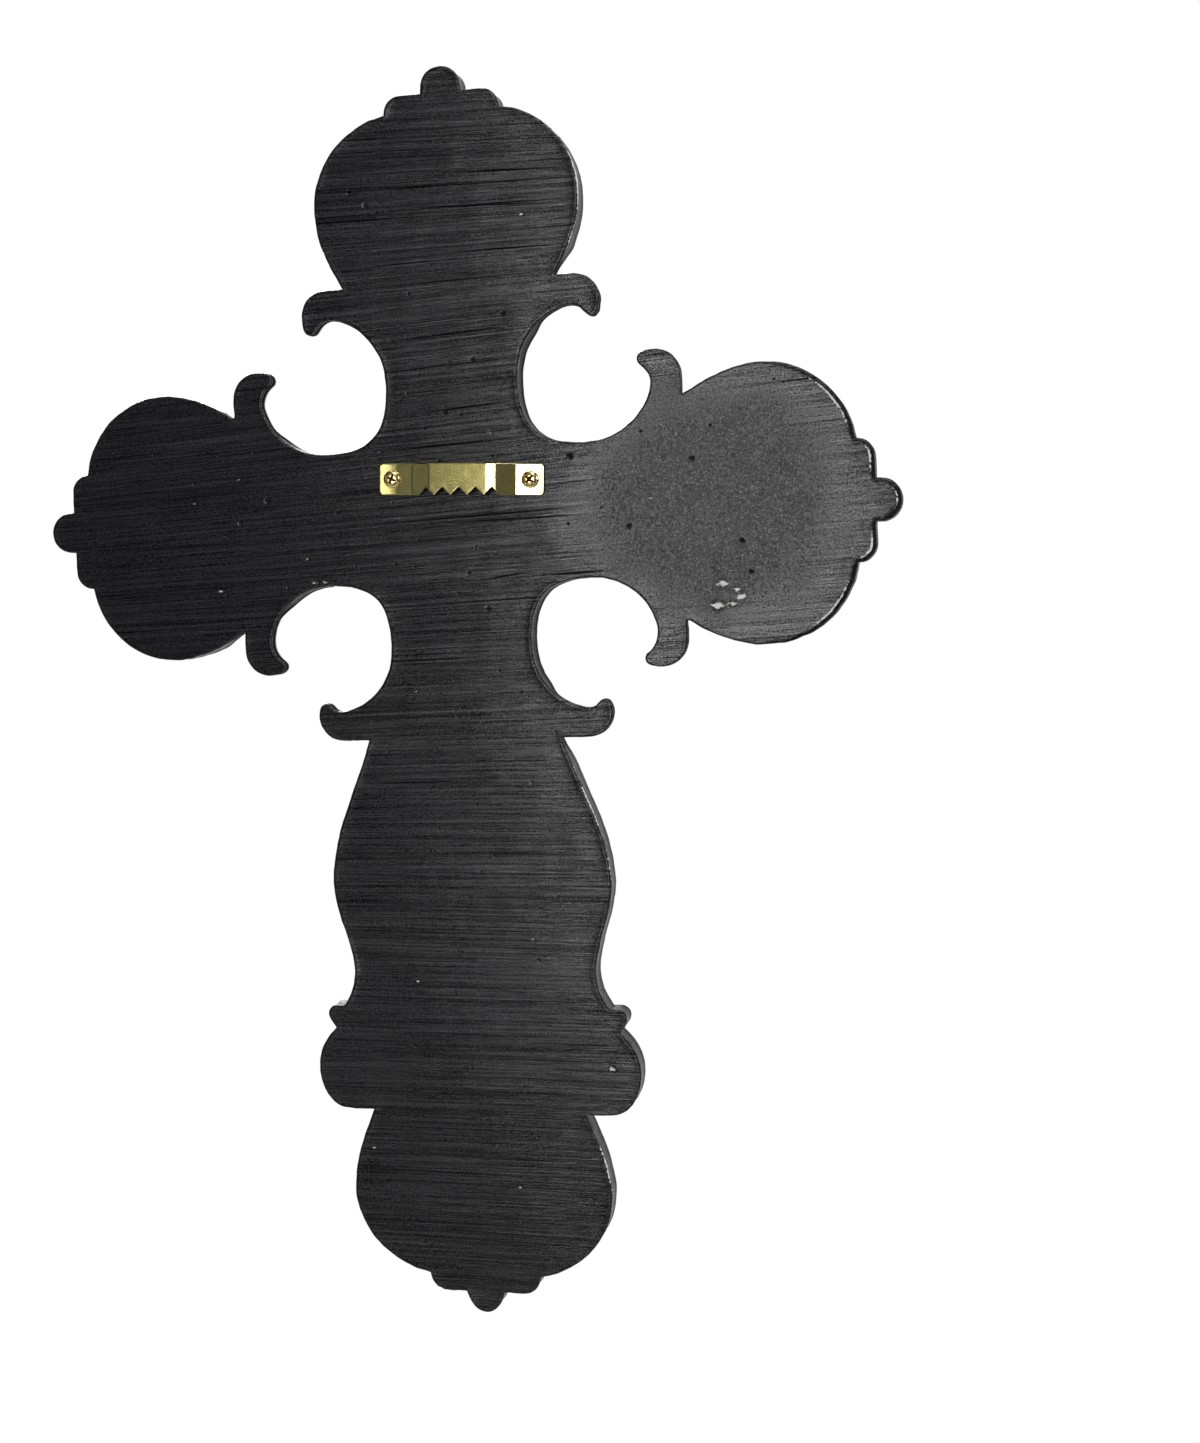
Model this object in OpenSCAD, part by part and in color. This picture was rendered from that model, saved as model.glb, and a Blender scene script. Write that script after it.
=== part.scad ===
// Ornamental wall cross, cast in one piece with a flat ground back, and hung
// from a sawtooth hanger that two small screws hold to the back.
// Millimetres. +Z is up, the front faces -Y, and the wall's face is the plane Y = 0.
// The origin is where the nail sits: the top of the hanger's middle notch.

/* [Arms] */
// Length of the top arm and of each side arm, from the crossing to the tip
arm_l = 109; // [100:1:132]
// Width of the rounded lobe at the end of an arm
lobe_w = 67.4; // [60:0.2:74]
// Length of a lobe from its widest place out to the shoulders of its finial
lobe_l = 21.9; // [18:0.1:26]
// Width across the two notches under a lobe
notch_w = 54.4; // [46:0.2:56]

/* [Finials] */
// Length of the finial at the tip of an arm, its shoulders included
finial_l = 10.6; // [9.6:0.1:13]
// Radius of the bead on a finial
bead_r = 5.2; // [4:0.1:6]
// Width across the two shoulders that carry the bead
shoulder_w = 29.4; // [26:0.2:34]
// Radius of a shoulder, which is also its height
shoulder_r = 4.4; // [3:0.1:5]
// Length of the pointed bead under the foot
drop_l = 5.3; // [4:0.1:8]

/* [Openings] */
// Radius of the two round openings above the side arms
upper_r = 16.5; // [14:0.1:17.5]
// Radius of the two round openings below the side arms
lower_r = 15.8; // [14:0.1:17.5]
// Width of the top arm at its neck, and of a side arm above and below its middle line
neck_w = 34; // [30:0.5:38]
// Distance from a side arm's middle line to its lower edge, at the neck
neck_under = 16.2; // [14:0.1:19]
// Width of the shaft beside the lower openings
stem_w = 36.6; // [32:0.2:40]

/* [Hooks] */
// Distance from an arm's middle line to the outside of its hooks
hook_reach = 38.2; // [36:0.2:42]
// Radius of the outside of a hook
hook_r = 6.3; // [5.5:0.1:7]
// Distance from the far side of an opening to the middle of its hook
hook_rise = 1; // [0.6:0.1:1.6]
// Drop of an arm's hook lip under the middle of the hook
arm_lip = 4.7; // [3:0.1:5]
// Drop of a lip on the two hooks of the shaft
stem_lip = 3.4; // [3:0.1:5]

/* [Shaft] */
// Length of the shaft from the crossing to the end of the foot's shoulders
shaft_l = 196.7; // [185:0.1:237]
// Width across the notches at the top of the shaft
shaft_top_w = 50.2; // [46:0.2:54]
// Width of the shaft's belly
belly_w = 72.6; // [66:0.2:80]
// Place of the belly between the hooks, 0, and the waist, 1
belly_place = 0.62; // [0.5:0.01:0.7]
// Width of the waist under the belly
waist_w = 63.4; // [56:0.2:66]
// Distance from the waist down to the middle of the roll
waist_up = 25; // [22:0.5:30]
// Width across the two small curls on the roll
curl_w = 78.4; // [78:0.2:82]
// Radius of a curl
curl_r = 2.5; // [2:0.1:3]
// Height of the curls' tops over the middle of the roll
curl_up = 16.2; // [16:0.1:18]
// Height of the nicks under the curls over the middle of the roll
nick_up = 10.2; // [9:0.1:11]
// Depth of those nicks
nick_in = 1.8; // [1:0.1:2.4]
// Width of the roll above the foot
roll_w = 84.6; // [84:0.2:92]
// Radius of the roll's lower corners
roll_r = 8.2; // [6:0.1:10]
// Drop of the roll's lower edge under its middle
roll_drop = 10.9; // [9:0.1:12]
// Distance from the middle of the roll down to the foot's widest place
foot_down = 31.5; // [28:0.5:38]
// Width of the foot's lobe
foot_w = 67.8; // [60:0.2:72]
// Length of the foot from its widest place to the end of its shoulders
foot_l = 26.2; // [24:0.1:30]
// Width across the two notches between the roll and the foot
foot_top_w = 56; // [50:0.2:57]

/* [Body] */
// Thickness of the casting at its edge
body_t = 7; // [6:0.5:14]
// Width of the worn bevel round the ground back
back_bevel = 0.5; // [0.3:0.1:0.8]
// Width of the soft edge round the front
front_bevel = 1.2; // [0.8:0.1:1.4]

/* [Front carving] */
// Depth of the ribs' middle lines under the front face
rib_sunk = 4; // [3:0.1:4.5]
// Radius of a rib along the necks
rib_r = 6; // [5.5:0.1:7]
// Radius of a rib's bud on each lobe
bud_r = 9; // [7.5:0.1:10]
// Radius of the rib's baluster down the shaft
baluster_r = 10; // [8.5:0.1:11]
// Radius of the low dome under each bud
dome_r = 25; // [20:0.5:26]
// Height of that dome
dome_h = 2; // [1:0.1:3]
// Radius of the round boss at the crossing
boss_r = 15; // [12:0.5:16]
// Height of the boss over the front face
boss_h = 5; // [3:0.1:6]
// Distance from the rim of an opening to the middle of the scroll round it
scroll_in = 4; // [3.6:0.1:4.4]
// Radius of the scroll's round section
scroll_r = 2.6; // [2:0.1:3]
// Radius of the button in the eye of each hook
button_r = 3; // [2.6:0.1:4]
// Height of the buttons over the front face
button_h = 2; // [1:0.1:2.4]

/* [Hanger] */
// Length of the hanger
hanger_l = 42; // [40:0.2:46]
// Width of the hanger strip
hanger_w = 7.7; // [7:0.1:9]
// Thickness of the strip
hanger_t = 0.7; // [0.5:0.05:1]
// Room for the nail's head between the raised bridge and the back
nail_gap = 2.3; // [1.6:0.1:3]
// Length of each flat foot of the strip
hanger_foot = 8; // [7:0.1:9]
// Length of each sloping part
hanger_slope = 4.4; // [3:0.1:5]
// Distance between neighbouring notches
notch_pitch = 4.25; // [3.5:0.05:4.5]
// Depth of a notch
notch_depth = 1.85; // [1.2:0.05:2.5]
// Number of notches, an odd number
notch_count = 5; // [3:2:5]
// Width of the flat tip of a tooth between two notches
tooth_flat = 0.2; // [0.1:0.05:0.5]
// Radius of the strip's rounded corners
hanger_corner_r = 1; // [0.5:0.1:2]
// Height of the middle notch over the side arms' middle line
notch_up = 7.1; // [2:0.1:10]
// Sideways distance of the middle notch from the shaft's middle line
notch_aside = 1.8; // [0:0.1:4]
// Slope of the hanger, which was screwed on a little out of level, in degrees
hanger_skew = 2.6; // [0:0.1:4]

/* [Screws] */
// Distance from an end of the hanger to the middle of its screw
screw_in = 3.35; // [3:0.05:4]
// Radius of a screw's head
head_r = 2.15; // [1.8:0.05:2.4]
// Height of a screw's head
head_h = 1.3; // [1:0.1:1.6]
// Radius of a screw's shank
shank_r = 1.1; // [0.9:0.05:1.3]
// Length of the shank under the head, its point included
shank_l = 5.5; // [4:0.5:6.5]
// Clearance round the shank in the hanger's hole
hole_gap = 0.25; // [0.1:0.05:0.4]
// Clearance round the shank in the casting, and past its point
pilot_gap = 0.05; // [0.02:0.01:0.1]
// Depth of the cross recess in a screw's head
recess_d = 0.8; // [0.4:0.1:0.8]
// Width of the recess's blades
recess_w = 0.5; // [0.3:0.05:0.6]

/* [Hidden] */

turn_step = 12;         // degrees that a curved outline turns between two points
chord_max = 9;          // longest straight piece of a curved outline
fine = 48;              // sides of a round shape
carved = 12;            // sides of a small round shape in the carving
over = 1;               // overshoot of a cutting shape

rim_from = 104;         // degrees round an opening at which its hook begins
corner_share = 0.78;    // an opening's corner by the crossing, 0.71 if it were round
lip_out = 0.66;         // outer corner of a hook's lip, as a share of the hook's radius
lip_in = 0.37;          // inner corner of that lip, as such a share
lip_slant = 1;          // height of the inner corner over the outer one
curl_root = 3;          // step from the waist out to the curls' roots
ring_back = 2;          // distance from a hook's opening back to the ring on a rib
ring_swell = 1.8;       // how far such a ring stands out over the rib's neck
rib_thin = 0.6;         // how much thinner than its neck a rib is beside its swellings
rib_tip_sink = 1;       // how far a rib's tip has sunk into the front face
ball_swell = 0.4;       // how much fatter than its scroll the ball that ends it is
bead_cap = 0.7;         // round cap on a finial's bead, as a share of the bead's radius
dome_of_head = 1.6;     // radius of the ball that a screw's head is part of, over head_r
blade_of_head = 0.6;    // reach of the recess's blades, as a share of head_r
tip_of_shank = 0.2;     // radius of a screw's tip, as a share of shank_r

// Where the crossing of the arms lies in the part's frame
crossing = [notch_aside, 0, -notch_up];
back_y = -(nail_gap + hanger_t);
front_y = back_y - body_t;
foot_face_y = back_y + hanger_t;      // outer face of a hanger's foot
strip_z = hanger_w / 2 - notch_depth; // the strip's middle line, over the notch
screw_x = hanger_l / 2 - screw_in;    // a screw's distance from the strip's middle

// Places along a top or side arm, from the crossing
lobe_top = arm_l - finial_l;
lobe_at = lobe_top - lobe_l;

// Middles of the openings, as [across, along] from the crossing, seen from the
// top arm and from the shaft
upper_mid = [neck_w / 2 + upper_r, neck_w / 2 + upper_r];
lower_mid = [stem_w / 2 + lower_r, neck_under + lower_r];
lower_mid_of_arm = [lower_mid[1], lower_mid[0]];

// Places along the shaft, from the crossing
foot_at = shaft_l - foot_l;
roll_at = foot_at - foot_down;
waist_at = roll_at - waist_up;
stem_notch = notch_by(lower_mid, lower_r);
belly_at = stem_notch + belly_place * (waist_at - stem_notch);

// ---- Outline ------------------------------------------------------------
// A station is [across, along, heading in degrees]: the outline passes through
// it in that direction. Between two stations runs a cubic curve that is close
// to a circular arc wherever an arc can join them.

// Difference of two headings, from -180 to 180
function swing(a, b) =
    let (d = b - a)
    d - 360 * floor((d + 180) / 360);

// How far a span bends away from its chord, at both ends together
function bend_of(a, b) =
    let (chord = atan2(b[1] - a[1], b[0] - a[0]))
    abs(swing(a[2], chord)) + abs(swing(chord, b[2]));

// Length of a span's handles, as for an arc of the same turn
function reach_of(a, b) =
    let (chord = norm([b[0] - a[0], b[1] - a[1]]), t = max(abs(swing(a[2], b[2])), 1))
    chord * 2 * tan(t / 4) / sin(t / 2) / 3;

function span_point(a, b, t) =
    let (
        m = reach_of(a, b),
        p = [a[0], a[1]],
        q = [b[0], b[1]],
        p1 = p + m * [cos(a[2]), sin(a[2])],
        q1 = q - m * [cos(b[2]), sin(b[2])]
    )
    pow(1 - t, 3) * p + 3 * pow(1 - t, 2) * t * p1 + 3 * (1 - t) * t * t * q1 + pow(t, 3) * q;

// Pieces that a span is drawn in: one when it is straight
function steps_of(a, b) =
    let (bend = bend_of(a, b))
    bend < 1 ? 1 : max(ceil(bend / turn_step), ceil(norm([b[0] - a[0], b[1] - a[1]]) / chord_max));

// Points of a smooth run through all its stations
function run(s) = concat(
    [
        for (i = [0:len(s) - 2])
            let (steps = steps_of(s[i], s[i + 1]))
            for (k = [0:steps - 1])
                span_point(s[i], s[i + 1], k / steps)
    ],
    [[s[len(s) - 1][0], s[len(s) - 1][1]]]
);

// Middle of the round outside of a hook, beside the opening whose middle is mid
function hook_eye(mid, r) = [hook_reach - hook_r, mid[1] + r + hook_rise];

// Distance from the crossing to the notch on the outer side of a hook
function notch_by(mid, r) = hook_eye(mid, r)[1] + hook_r;

// A hook and half of its opening's rim, from the notch beside the arm to the
// opening's corner near the crossing, which is fuller than a circle
function hook_half(mid, r, notch_half, lip) =
    let (eye = hook_eye(mid, r))
    run([
        [notch_half, eye[1] + hook_r, 0],
        [eye[0], eye[1] + hook_r, 0],
        [eye[0] + hook_r, eye[1], -90],
        [eye[0] + lip_out * hook_r, eye[1] - lip, -178],
        [eye[0] + lip_in * hook_r, eye[1] - lip + lip_slant, -235],
        [mid[0] + r * cos(rim_from), mid[1] + r * sin(rim_from), rim_from - 270],
        [mid[0] - r, mid[1], -90],
        [mid[0] - corner_share * r, mid[1] - corner_share * r, -45]
    ]);

// Half of an arm's end, from the tip to the notch over the hook
function lobe_half(notch_at) =
    let (shoulder = shoulder_w / 2, shelf = lobe_top + shoulder_r)
    concat(
        run([[0, arm_l, 0], [bead_r, arm_l - bead_r, -90], [bead_r, shelf, -90]]),
        run([[bead_r, shelf, 0], [shoulder - shoulder_r, shelf, 0], [shoulder, lobe_top, -90]]),
        run([[shoulder, lobe_top, -9], [lobe_w / 2, lobe_at, -90], [notch_w / 2, notch_at, -122]])
    );

// Half of a top or side arm, from its tip to the corner of the opening beside it
function arm_half(mid, r) = concat(
    lobe_half(notch_by(mid, r)),
    hook_half(mid, r, notch_w / 2, arm_lip)
);

// Half of the shaft, from the notch under its hook to the tip of the foot
function shaft_half() =
    let (
        root = waist_w / 2 + curl_root,
        curl = curl_w / 2,
        curl_top = roll_at - curl_up,
        roll = roll_w / 2,
        roll_low = roll_at + roll_drop,
        shoulder = shoulder_w / 2,
        shelf = shaft_l - shoulder_r
    )
    concat(
        run([
            [shaft_top_w / 2, stem_notch, 72],
            [belly_w / 2, belly_at, 90],
            [waist_w / 2, waist_at, 90],
            [root, curl_top, 55]
        ]),
        run([
            [root, curl_top, 0],
            [curl - curl_r, curl_top, 0],
            [curl, curl_top + curl_r, 90],
            [curl - nick_in, roll_at - nick_up, 118]
        ]),
        run([
            [curl - nick_in, roll_at - nick_up, 42],
            [roll, roll_at, 90],
            [roll - roll_r, roll_low, 180],
            [foot_top_w / 2, roll_low, 180]
        ]),
        run([[foot_top_w / 2, roll_low, 66], [foot_w / 2, foot_at, 90], [shoulder, shelf, 168]]),
        run([[shoulder, shelf, 95], [shoulder - shoulder_r, shaft_l, 180], [bead_r, shaft_l, 180]]),
        run([[bead_r, shaft_l, 108], [0, shaft_l + drop_l, 180]])
    );

function reversed(p) = [for (i = [len(p) - 1:-1:0]) p[i]];

// The right-hand half of the cross, from the top tip round to the foot's tip
function half_outline() =
    let (
        top = arm_half(upper_mid, upper_r),
        side_up = reversed(arm_half(upper_mid, upper_r)),
        side_low = arm_half(lower_mid_of_arm, lower_r),
        stem = reversed(hook_half(lower_mid, lower_r, shaft_top_w / 2, stem_lip)),
        shaft = shaft_half()
    )
    concat(
        top,
        [for (p = side_up) [p[1], p[0]]],
        [for (p = side_low) [p[1], -p[0]]],
        [for (p = stem) [p[0], -p[1]]],
        [for (p = shaft) [p[0], -p[1]]]
    );

// A point that repeats the one before it is left out
function distinct(p) = [
    for (i = [0:len(p) - 1])
        let (q = p[(i + len(p) - 1) % len(p)])
        if (norm(p[i] - q) > 0.02) p[i]
];

right_side = distinct(half_outline());
left_side = [for (i = [len(right_side) - 2:-1:1]) [-right_side[i][0], right_side[i][1]]];
outline = distinct(concat(right_side, left_side));
point_count = len(outline);

// ---- Casting ------------------------------------------------------------
// Unit normal that points into the shape at point i of the clockwise outline
function inward(i) =
    let (
        a = outline[(i + point_count - 1) % point_count],
        b = outline[(i + 1) % point_count],
        d = (b - a) / norm(b - a)
    )
    [d[1], -d[0]];

// The outline taken in by a distance, at a given Y
function ring(inset, y) = [
    for (i = [0:point_count - 1])
        let (p = outline[i] + inset * inward(i))
        [p[0], y, p[1]]
];

// The plain casting: the ground back, a bevel, the wall and a soft front edge
module blank() {
    rings = [
        ring(front_bevel, front_y),
        ring(0, front_y + front_bevel),
        ring(0, back_y - back_bevel),
        ring(back_bevel, back_y)
    ];
    last = len(rings) - 1;
    polyhedron(
        points = [for (r = rings) for (p = r) p],
        faces = concat(
            [[for (i = [0:point_count - 1]) i]],
            [
                for (k = [0:last - 1]) for (i = [0:point_count - 1])
                    let (j = (i + 1) % point_count)
                    [k * point_count + j, k * point_count + i,
                     (k + 1) * point_count + i, (k + 1) * point_count + j]
            ],
            [[for (i = [point_count - 1:-1:0]) last * point_count + i]]
        ),
        convexity = 10
    );
}

// Puts a child that is drawn with +Z as its front onto the front face, at
// [across, up] from the crossing
module on_front(at) {
    translate([at[0], front_y, at[1]])
        rotate([90, 0, 0])
            children();
}

// Low round cap of a given foot radius and height. It is turned by half a side, so
// that its edges don't run along those of a rib.
module cap(r, h) {
    ball_r = (r * r + h * h) / (2 * h);
    half_angle = asin(r / ball_r);
    rings = 3;
    sides = r > bud_r ? 2 * carved : carved;
    rotate([0, 0, 180 / sides])
        rotate_extrude($fn = sides)
            polygon(concat(
                [[0, -over], [r, -over]],
                [
                    for (k = [rings:-1:0])
                        let (a = half_angle * k / rings)
                        [ball_r * sin(a), ball_r * (cos(a) - 1) + h]
                ]
            ));
}

// Half-round rib along +Y, turned from stations of [along, radius, heading]
module turned_rib(stations) {
    profile = run(stations);
    translate([0, 0, -rib_sunk])
        rotate([-90, 0, 0])
            rotate_extrude(angle = -180, $fn = 1.5 * carved)
                polygon(concat(
                    [[0, profile[0][0]]],
                    [for (p = profile) [p[1], p[0]]],
                    [[0, profile[len(profile) - 1][0]]]
                ));
}

// Rib of the top arm or a side arm: a plain neck, a ring and a bud
module arm_rib() {
    ring_at = upper_mid[1] + upper_r - ring_back;
    turned_rib([
        [0, rib_r, 0],
        [ring_at - rib_r, rib_r, 0],
        [ring_at, rib_r + ring_swell, 0],
        [ring_at + rib_r, rib_r - rib_thin, 0],
        [lobe_at, bud_r, 0],
        [lobe_top - ring_back, rib_sunk - rib_tip_sink, -40]
    ]);
}

// Rib of the shaft: a neck, a ring, a long baluster, a ring and the foot's bud
module shaft_rib() {
    ring_at = lower_mid[1] + lower_r - ring_back;
    turned_rib([
        [0, rib_r, 0],
        [ring_at - rib_r, rib_r, 0],
        [ring_at, rib_r + ring_swell, 0],
        [ring_at + baluster_r, rib_r - rib_thin, 0],
        [belly_at, baluster_r, 0],
        [waist_at + waist_up / 3, rib_r - rib_thin, 0],
        [roll_at, bud_r, 0],
        [(roll_at + foot_at) / 2, rib_r - rib_thin, 0],
        [foot_at, bud_r, 0],
        [shaft_l - bud_r + ring_back, rib_sunk - rib_tip_sink, -40]
    ]);
}

// Scroll round an opening: three fifths of a ring that ends in two balls, open
// towards the outer corner. Its sweep comes to an odd number of sides, so that a
// side and no edge lies over the opening's corner.
module scroll(r) {
    sweep = 112;
    bend_r = r + scroll_in;
    for (side = [-1, 1])
        rotate([0, 0, 225 + side * sweep])
            translate([bend_r, 0, -over])
                sphere(r = scroll_r + ball_swell, $fn = carved);
    rotate([0, 0, 225 - sweep])
        translate([0, 0, -over])
            rotate_extrude(angle = 2 * sweep, $fn = 2 * carved)
                translate([bend_r, 0])
                    circle(r = scroll_r, $fn = carved);
}

// Stepped round boss at the crossing
module boss() {
    cap(boss_r, boss_h / 2);
    cap(2 * boss_r / 3, boss_h);
}

// Everything that is carved on the front
module carving() {
    for (turn = [-90, 0, 90])
        on_front([0, 0])
            rotate([0, 0, turn]) {
                arm_rib();
                translate([0, lobe_at, 0])
                    cap(dome_r, dome_h);
                translate([0, arm_l - bead_r, 0])
                    cap(bead_cap * bead_r, bead_r / 3);
            }
    on_front([0, 0])
        rotate([0, 0, 180])
            shaft_rib();
    on_front([0, -foot_at])
        cap(dome_r, dome_h);
    on_front([0, 0])
        boss();
    for (side = [-1, 1]) {
        on_front([side * upper_mid[0], upper_mid[1]])
            mirror([side < 0 ? 1 : 0, 0, 0])
                scroll(upper_r);
        on_front([side * lower_mid[0], -lower_mid[1]])
            mirror([side < 0 ? 1 : 0, 0, 0])
                mirror([0, 1, 0])
                    scroll(lower_r);
        upper_eye = hook_eye(upper_mid, upper_r);
        side_eye = hook_eye(lower_mid_of_arm, lower_r);
        stem_eye = hook_eye(lower_mid, lower_r);
        eyes = [
            upper_eye,
            [upper_eye[1], upper_eye[0]],
            [side_eye[1], -side_eye[0]],
            [stem_eye[0], -stem_eye[1]]
        ];
        for (at = eyes)
            on_front([side * at[0], at[1]])
                cap(button_r, button_h);
    }
}

// The blank and its carving as one skin, at its true width. The carving's many
// round shapes run into one another, so they are joined as facets.
module casting() {
    resize([2 * arm_l, 0, 0])
        union() {
            blank();
            carving();
        }
}

// Places a child that is drawn round the middle notch as the hanger lies
module as_hung() {
    rotate([0, -hanger_skew, 0])
        children();
}

// A round shape along +Y from the hanger's foot, at one screw. side is 1 at
// the end towards +X and -1 at the other end.
module at_screw(side) {
    as_hung()
        translate([side * screw_x, foot_face_y, strip_z])
            rotate([-90, 0, 0])
                children();
}

module pilot_hole(side) {
    at_screw(side)
        translate([0, 0, -shank_l - pilot_gap])
            cylinder(r = shank_r + pilot_gap, h = shank_l + pilot_gap, $fn = fine);
}

module cross() {
    color("#2b2b2c")
        difference() {
            translate(crossing)
                casting();
            pilot_hole(-1);
            pilot_hole(1);
        }
}

// ---- Hanger -------------------------------------------------------------
// Bent strip seen from its edge, as [along, towards the wall] from the back
module strip_profile() {
    half = hanger_l / 2;
    knee = half - hanger_foot;
    top = knee - hanger_slope;
    rise = nail_gap;
    polygon([
        [-half, 0], [-knee, 0], [-top, rise], [top, rise], [knee, 0], [half, 0],
        [half, hanger_t], [knee, hanger_t], [top, rise + hanger_t],
        [-top, rise + hanger_t], [-knee, hanger_t], [-half, hanger_t]
    ]);
}

// The strip's outline in plan: a rectangle with rounded corners
module strip_plan() {
    x = hanger_l / 2 - hanger_corner_r;
    y = hanger_w / 2 - hanger_corner_r;
    square([2 * x, hanger_w], center = true);
    square([hanger_l, 2 * y], center = true);
    for (sx = [-1, 1])
        for (sy = [-1, 1])
            translate([sx * x, sy * y])
                circle(r = hanger_corner_r, $fn = fine);
}

module sawtooth_hanger() {
    deep = nail_gap + 3 * hanger_t;
    color("#b08d3c")
        difference() {
            as_hung()
                translate([0, 0, strip_z])
                    difference() {
                        intersection() {
                            translate([0, back_y, -hanger_w])
                                linear_extrude(height = 2 * hanger_w)
                                    strip_profile();
                            translate([0, over, 0])
                                rotate([90, 0, 0])
                                    linear_extrude(height = deep + 2 * over)
                                        strip_plan();
                        }
                        for (i = [-(notch_count - 1) / 2:(notch_count - 1) / 2])
                            translate([i * notch_pitch, over, -hanger_w / 2])
                                rotate([90, 0, 0])
                                    linear_extrude(height = deep + 2 * over)
                                        notch_plan();
                    }
            for (side = [-1, 1])
                at_screw(side)
                    translate([0, 0, -hanger_t - over])
                        cylinder(r = shank_r + hole_gap, h = hanger_t + 2 * over, $fn = fine);
        }
}

// One V notch in the strip's lower edge, its top at the notch's depth
module notch_plan() {
    half = (notch_pitch - tooth_flat) / 2;
    flare = half / notch_depth * over;
    polygon([[-half - flare, -over], [0, notch_depth], [half + flare, -over]]);
}

// ---- Screws -------------------------------------------------------------
module screw(side) {
    point_l = 2 * shank_r;
    blade = blade_of_head * head_r;
    at_screw(side) {
        difference() {
            intersection() {
                cylinder(r = head_r, h = head_h, $fn = fine);
                translate([0, 0, head_h - dome_of_head * head_r])
                    sphere(r = dome_of_head * head_r, $fn = fine);
            }
            for (turn = [0, 90])
                rotate([0, 0, turn])
                    translate([-blade, -recess_w / 2, head_h - recess_d])
                        cube([2 * blade, recess_w, recess_d + over]);
        }
        translate([0, 0, point_l - shank_l])
            cylinder(r = shank_r, h = shank_l - point_l, $fn = fine);
        translate([0, 0, -shank_l])
            cylinder(r1 = tip_of_shank * shank_r, r2 = shank_r, h = point_l, $fn = fine);
    }
}

module left_screw() {
    color("#c9a44c")
        screw(1);
}

module right_screw() {
    color("#c9a44c")
        screw(-1);
}

cross();
sawtooth_hanger();
left_screw();
right_screw();
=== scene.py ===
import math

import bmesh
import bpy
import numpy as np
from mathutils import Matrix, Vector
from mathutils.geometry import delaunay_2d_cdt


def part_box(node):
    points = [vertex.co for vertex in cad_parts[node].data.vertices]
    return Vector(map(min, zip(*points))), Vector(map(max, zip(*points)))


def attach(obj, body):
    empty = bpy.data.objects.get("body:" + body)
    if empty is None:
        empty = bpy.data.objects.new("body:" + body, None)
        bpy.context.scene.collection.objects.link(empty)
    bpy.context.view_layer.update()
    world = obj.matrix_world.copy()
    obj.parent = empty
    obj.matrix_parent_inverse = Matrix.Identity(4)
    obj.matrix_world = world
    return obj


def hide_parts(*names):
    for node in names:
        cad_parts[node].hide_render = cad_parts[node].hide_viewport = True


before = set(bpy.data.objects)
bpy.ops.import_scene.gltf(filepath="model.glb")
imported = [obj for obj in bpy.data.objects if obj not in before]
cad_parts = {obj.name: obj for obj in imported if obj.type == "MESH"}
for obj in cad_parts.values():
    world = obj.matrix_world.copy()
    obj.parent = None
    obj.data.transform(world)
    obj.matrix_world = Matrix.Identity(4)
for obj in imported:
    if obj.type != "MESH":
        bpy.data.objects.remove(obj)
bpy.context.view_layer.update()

# %% [markdown]
# # A wall cross, seen from the back
#
# The real cross was poured in resin, in an open mould whose floor is the carved front.
# When the resin had set, the side that was up was ground flat on a belt and sprayed black
# all over. Two screws hold a stamped brass strip with a row of teeth, which drops over a
# nail. So there are three kinds of surface to make:
#
# - the casting, with a ground back, a rough wall and a carved front;
# - the bent strip;
# - the two screws.
#
# All lengths below are in millimetres and are turned into metres when a mesh is made.

MM = 0.001
INSIDE_WITH_HOLES = 2  # the triangulation's mode that keeps what the loops enclose


def ease(t):
    """Smooth step: 3 t^2 - 2 t^3, with t held between 0 and 1."""
    t = np.clip(t, 0, 1)
    return t * t * (3 - 2 * t)


def through(x, stations):
    """Smooth curve through (place, value) stations, level at each one."""
    places, values = np.array(stations, float).T
    k = np.clip(np.searchsorted(places, x) - 1, 0, len(places) - 2)
    share = ease((x - places[k]) / (places[k + 1] - places[k]))
    return values[k] + share * (values[k + 1] - values[k])


def soft_max(a, b, blend=0.35):
    """Larger of a and b, with a fillet: the mean plus half of root(gap^2 + blend^2) - blend.
    Where a and b are far apart, it lies half the blend below the larger one."""
    return (a + b + np.sqrt((a - b) ** 2 + blend**2) - blend) / 2


def ripple(points, pitch, seed, waves=24):
    """Smooth random field, about -1 to 1: the sum of sine waves of random direction and
    phase, whose lengths lie between 0.6 and 1.8 times the pitch."""
    rng = np.random.default_rng(seed)
    heading = rng.uniform(0, 2 * math.pi, waves)
    length = pitch * rng.uniform(0.6, 1.8, waves)
    k = 2 * math.pi / length * np.stack([np.cos(heading), np.sin(heading)])
    phase = rng.uniform(0, 2 * math.pi, waves)
    return np.sin(points @ k + phase).sum(1) / math.sqrt(2 * waves)


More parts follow.
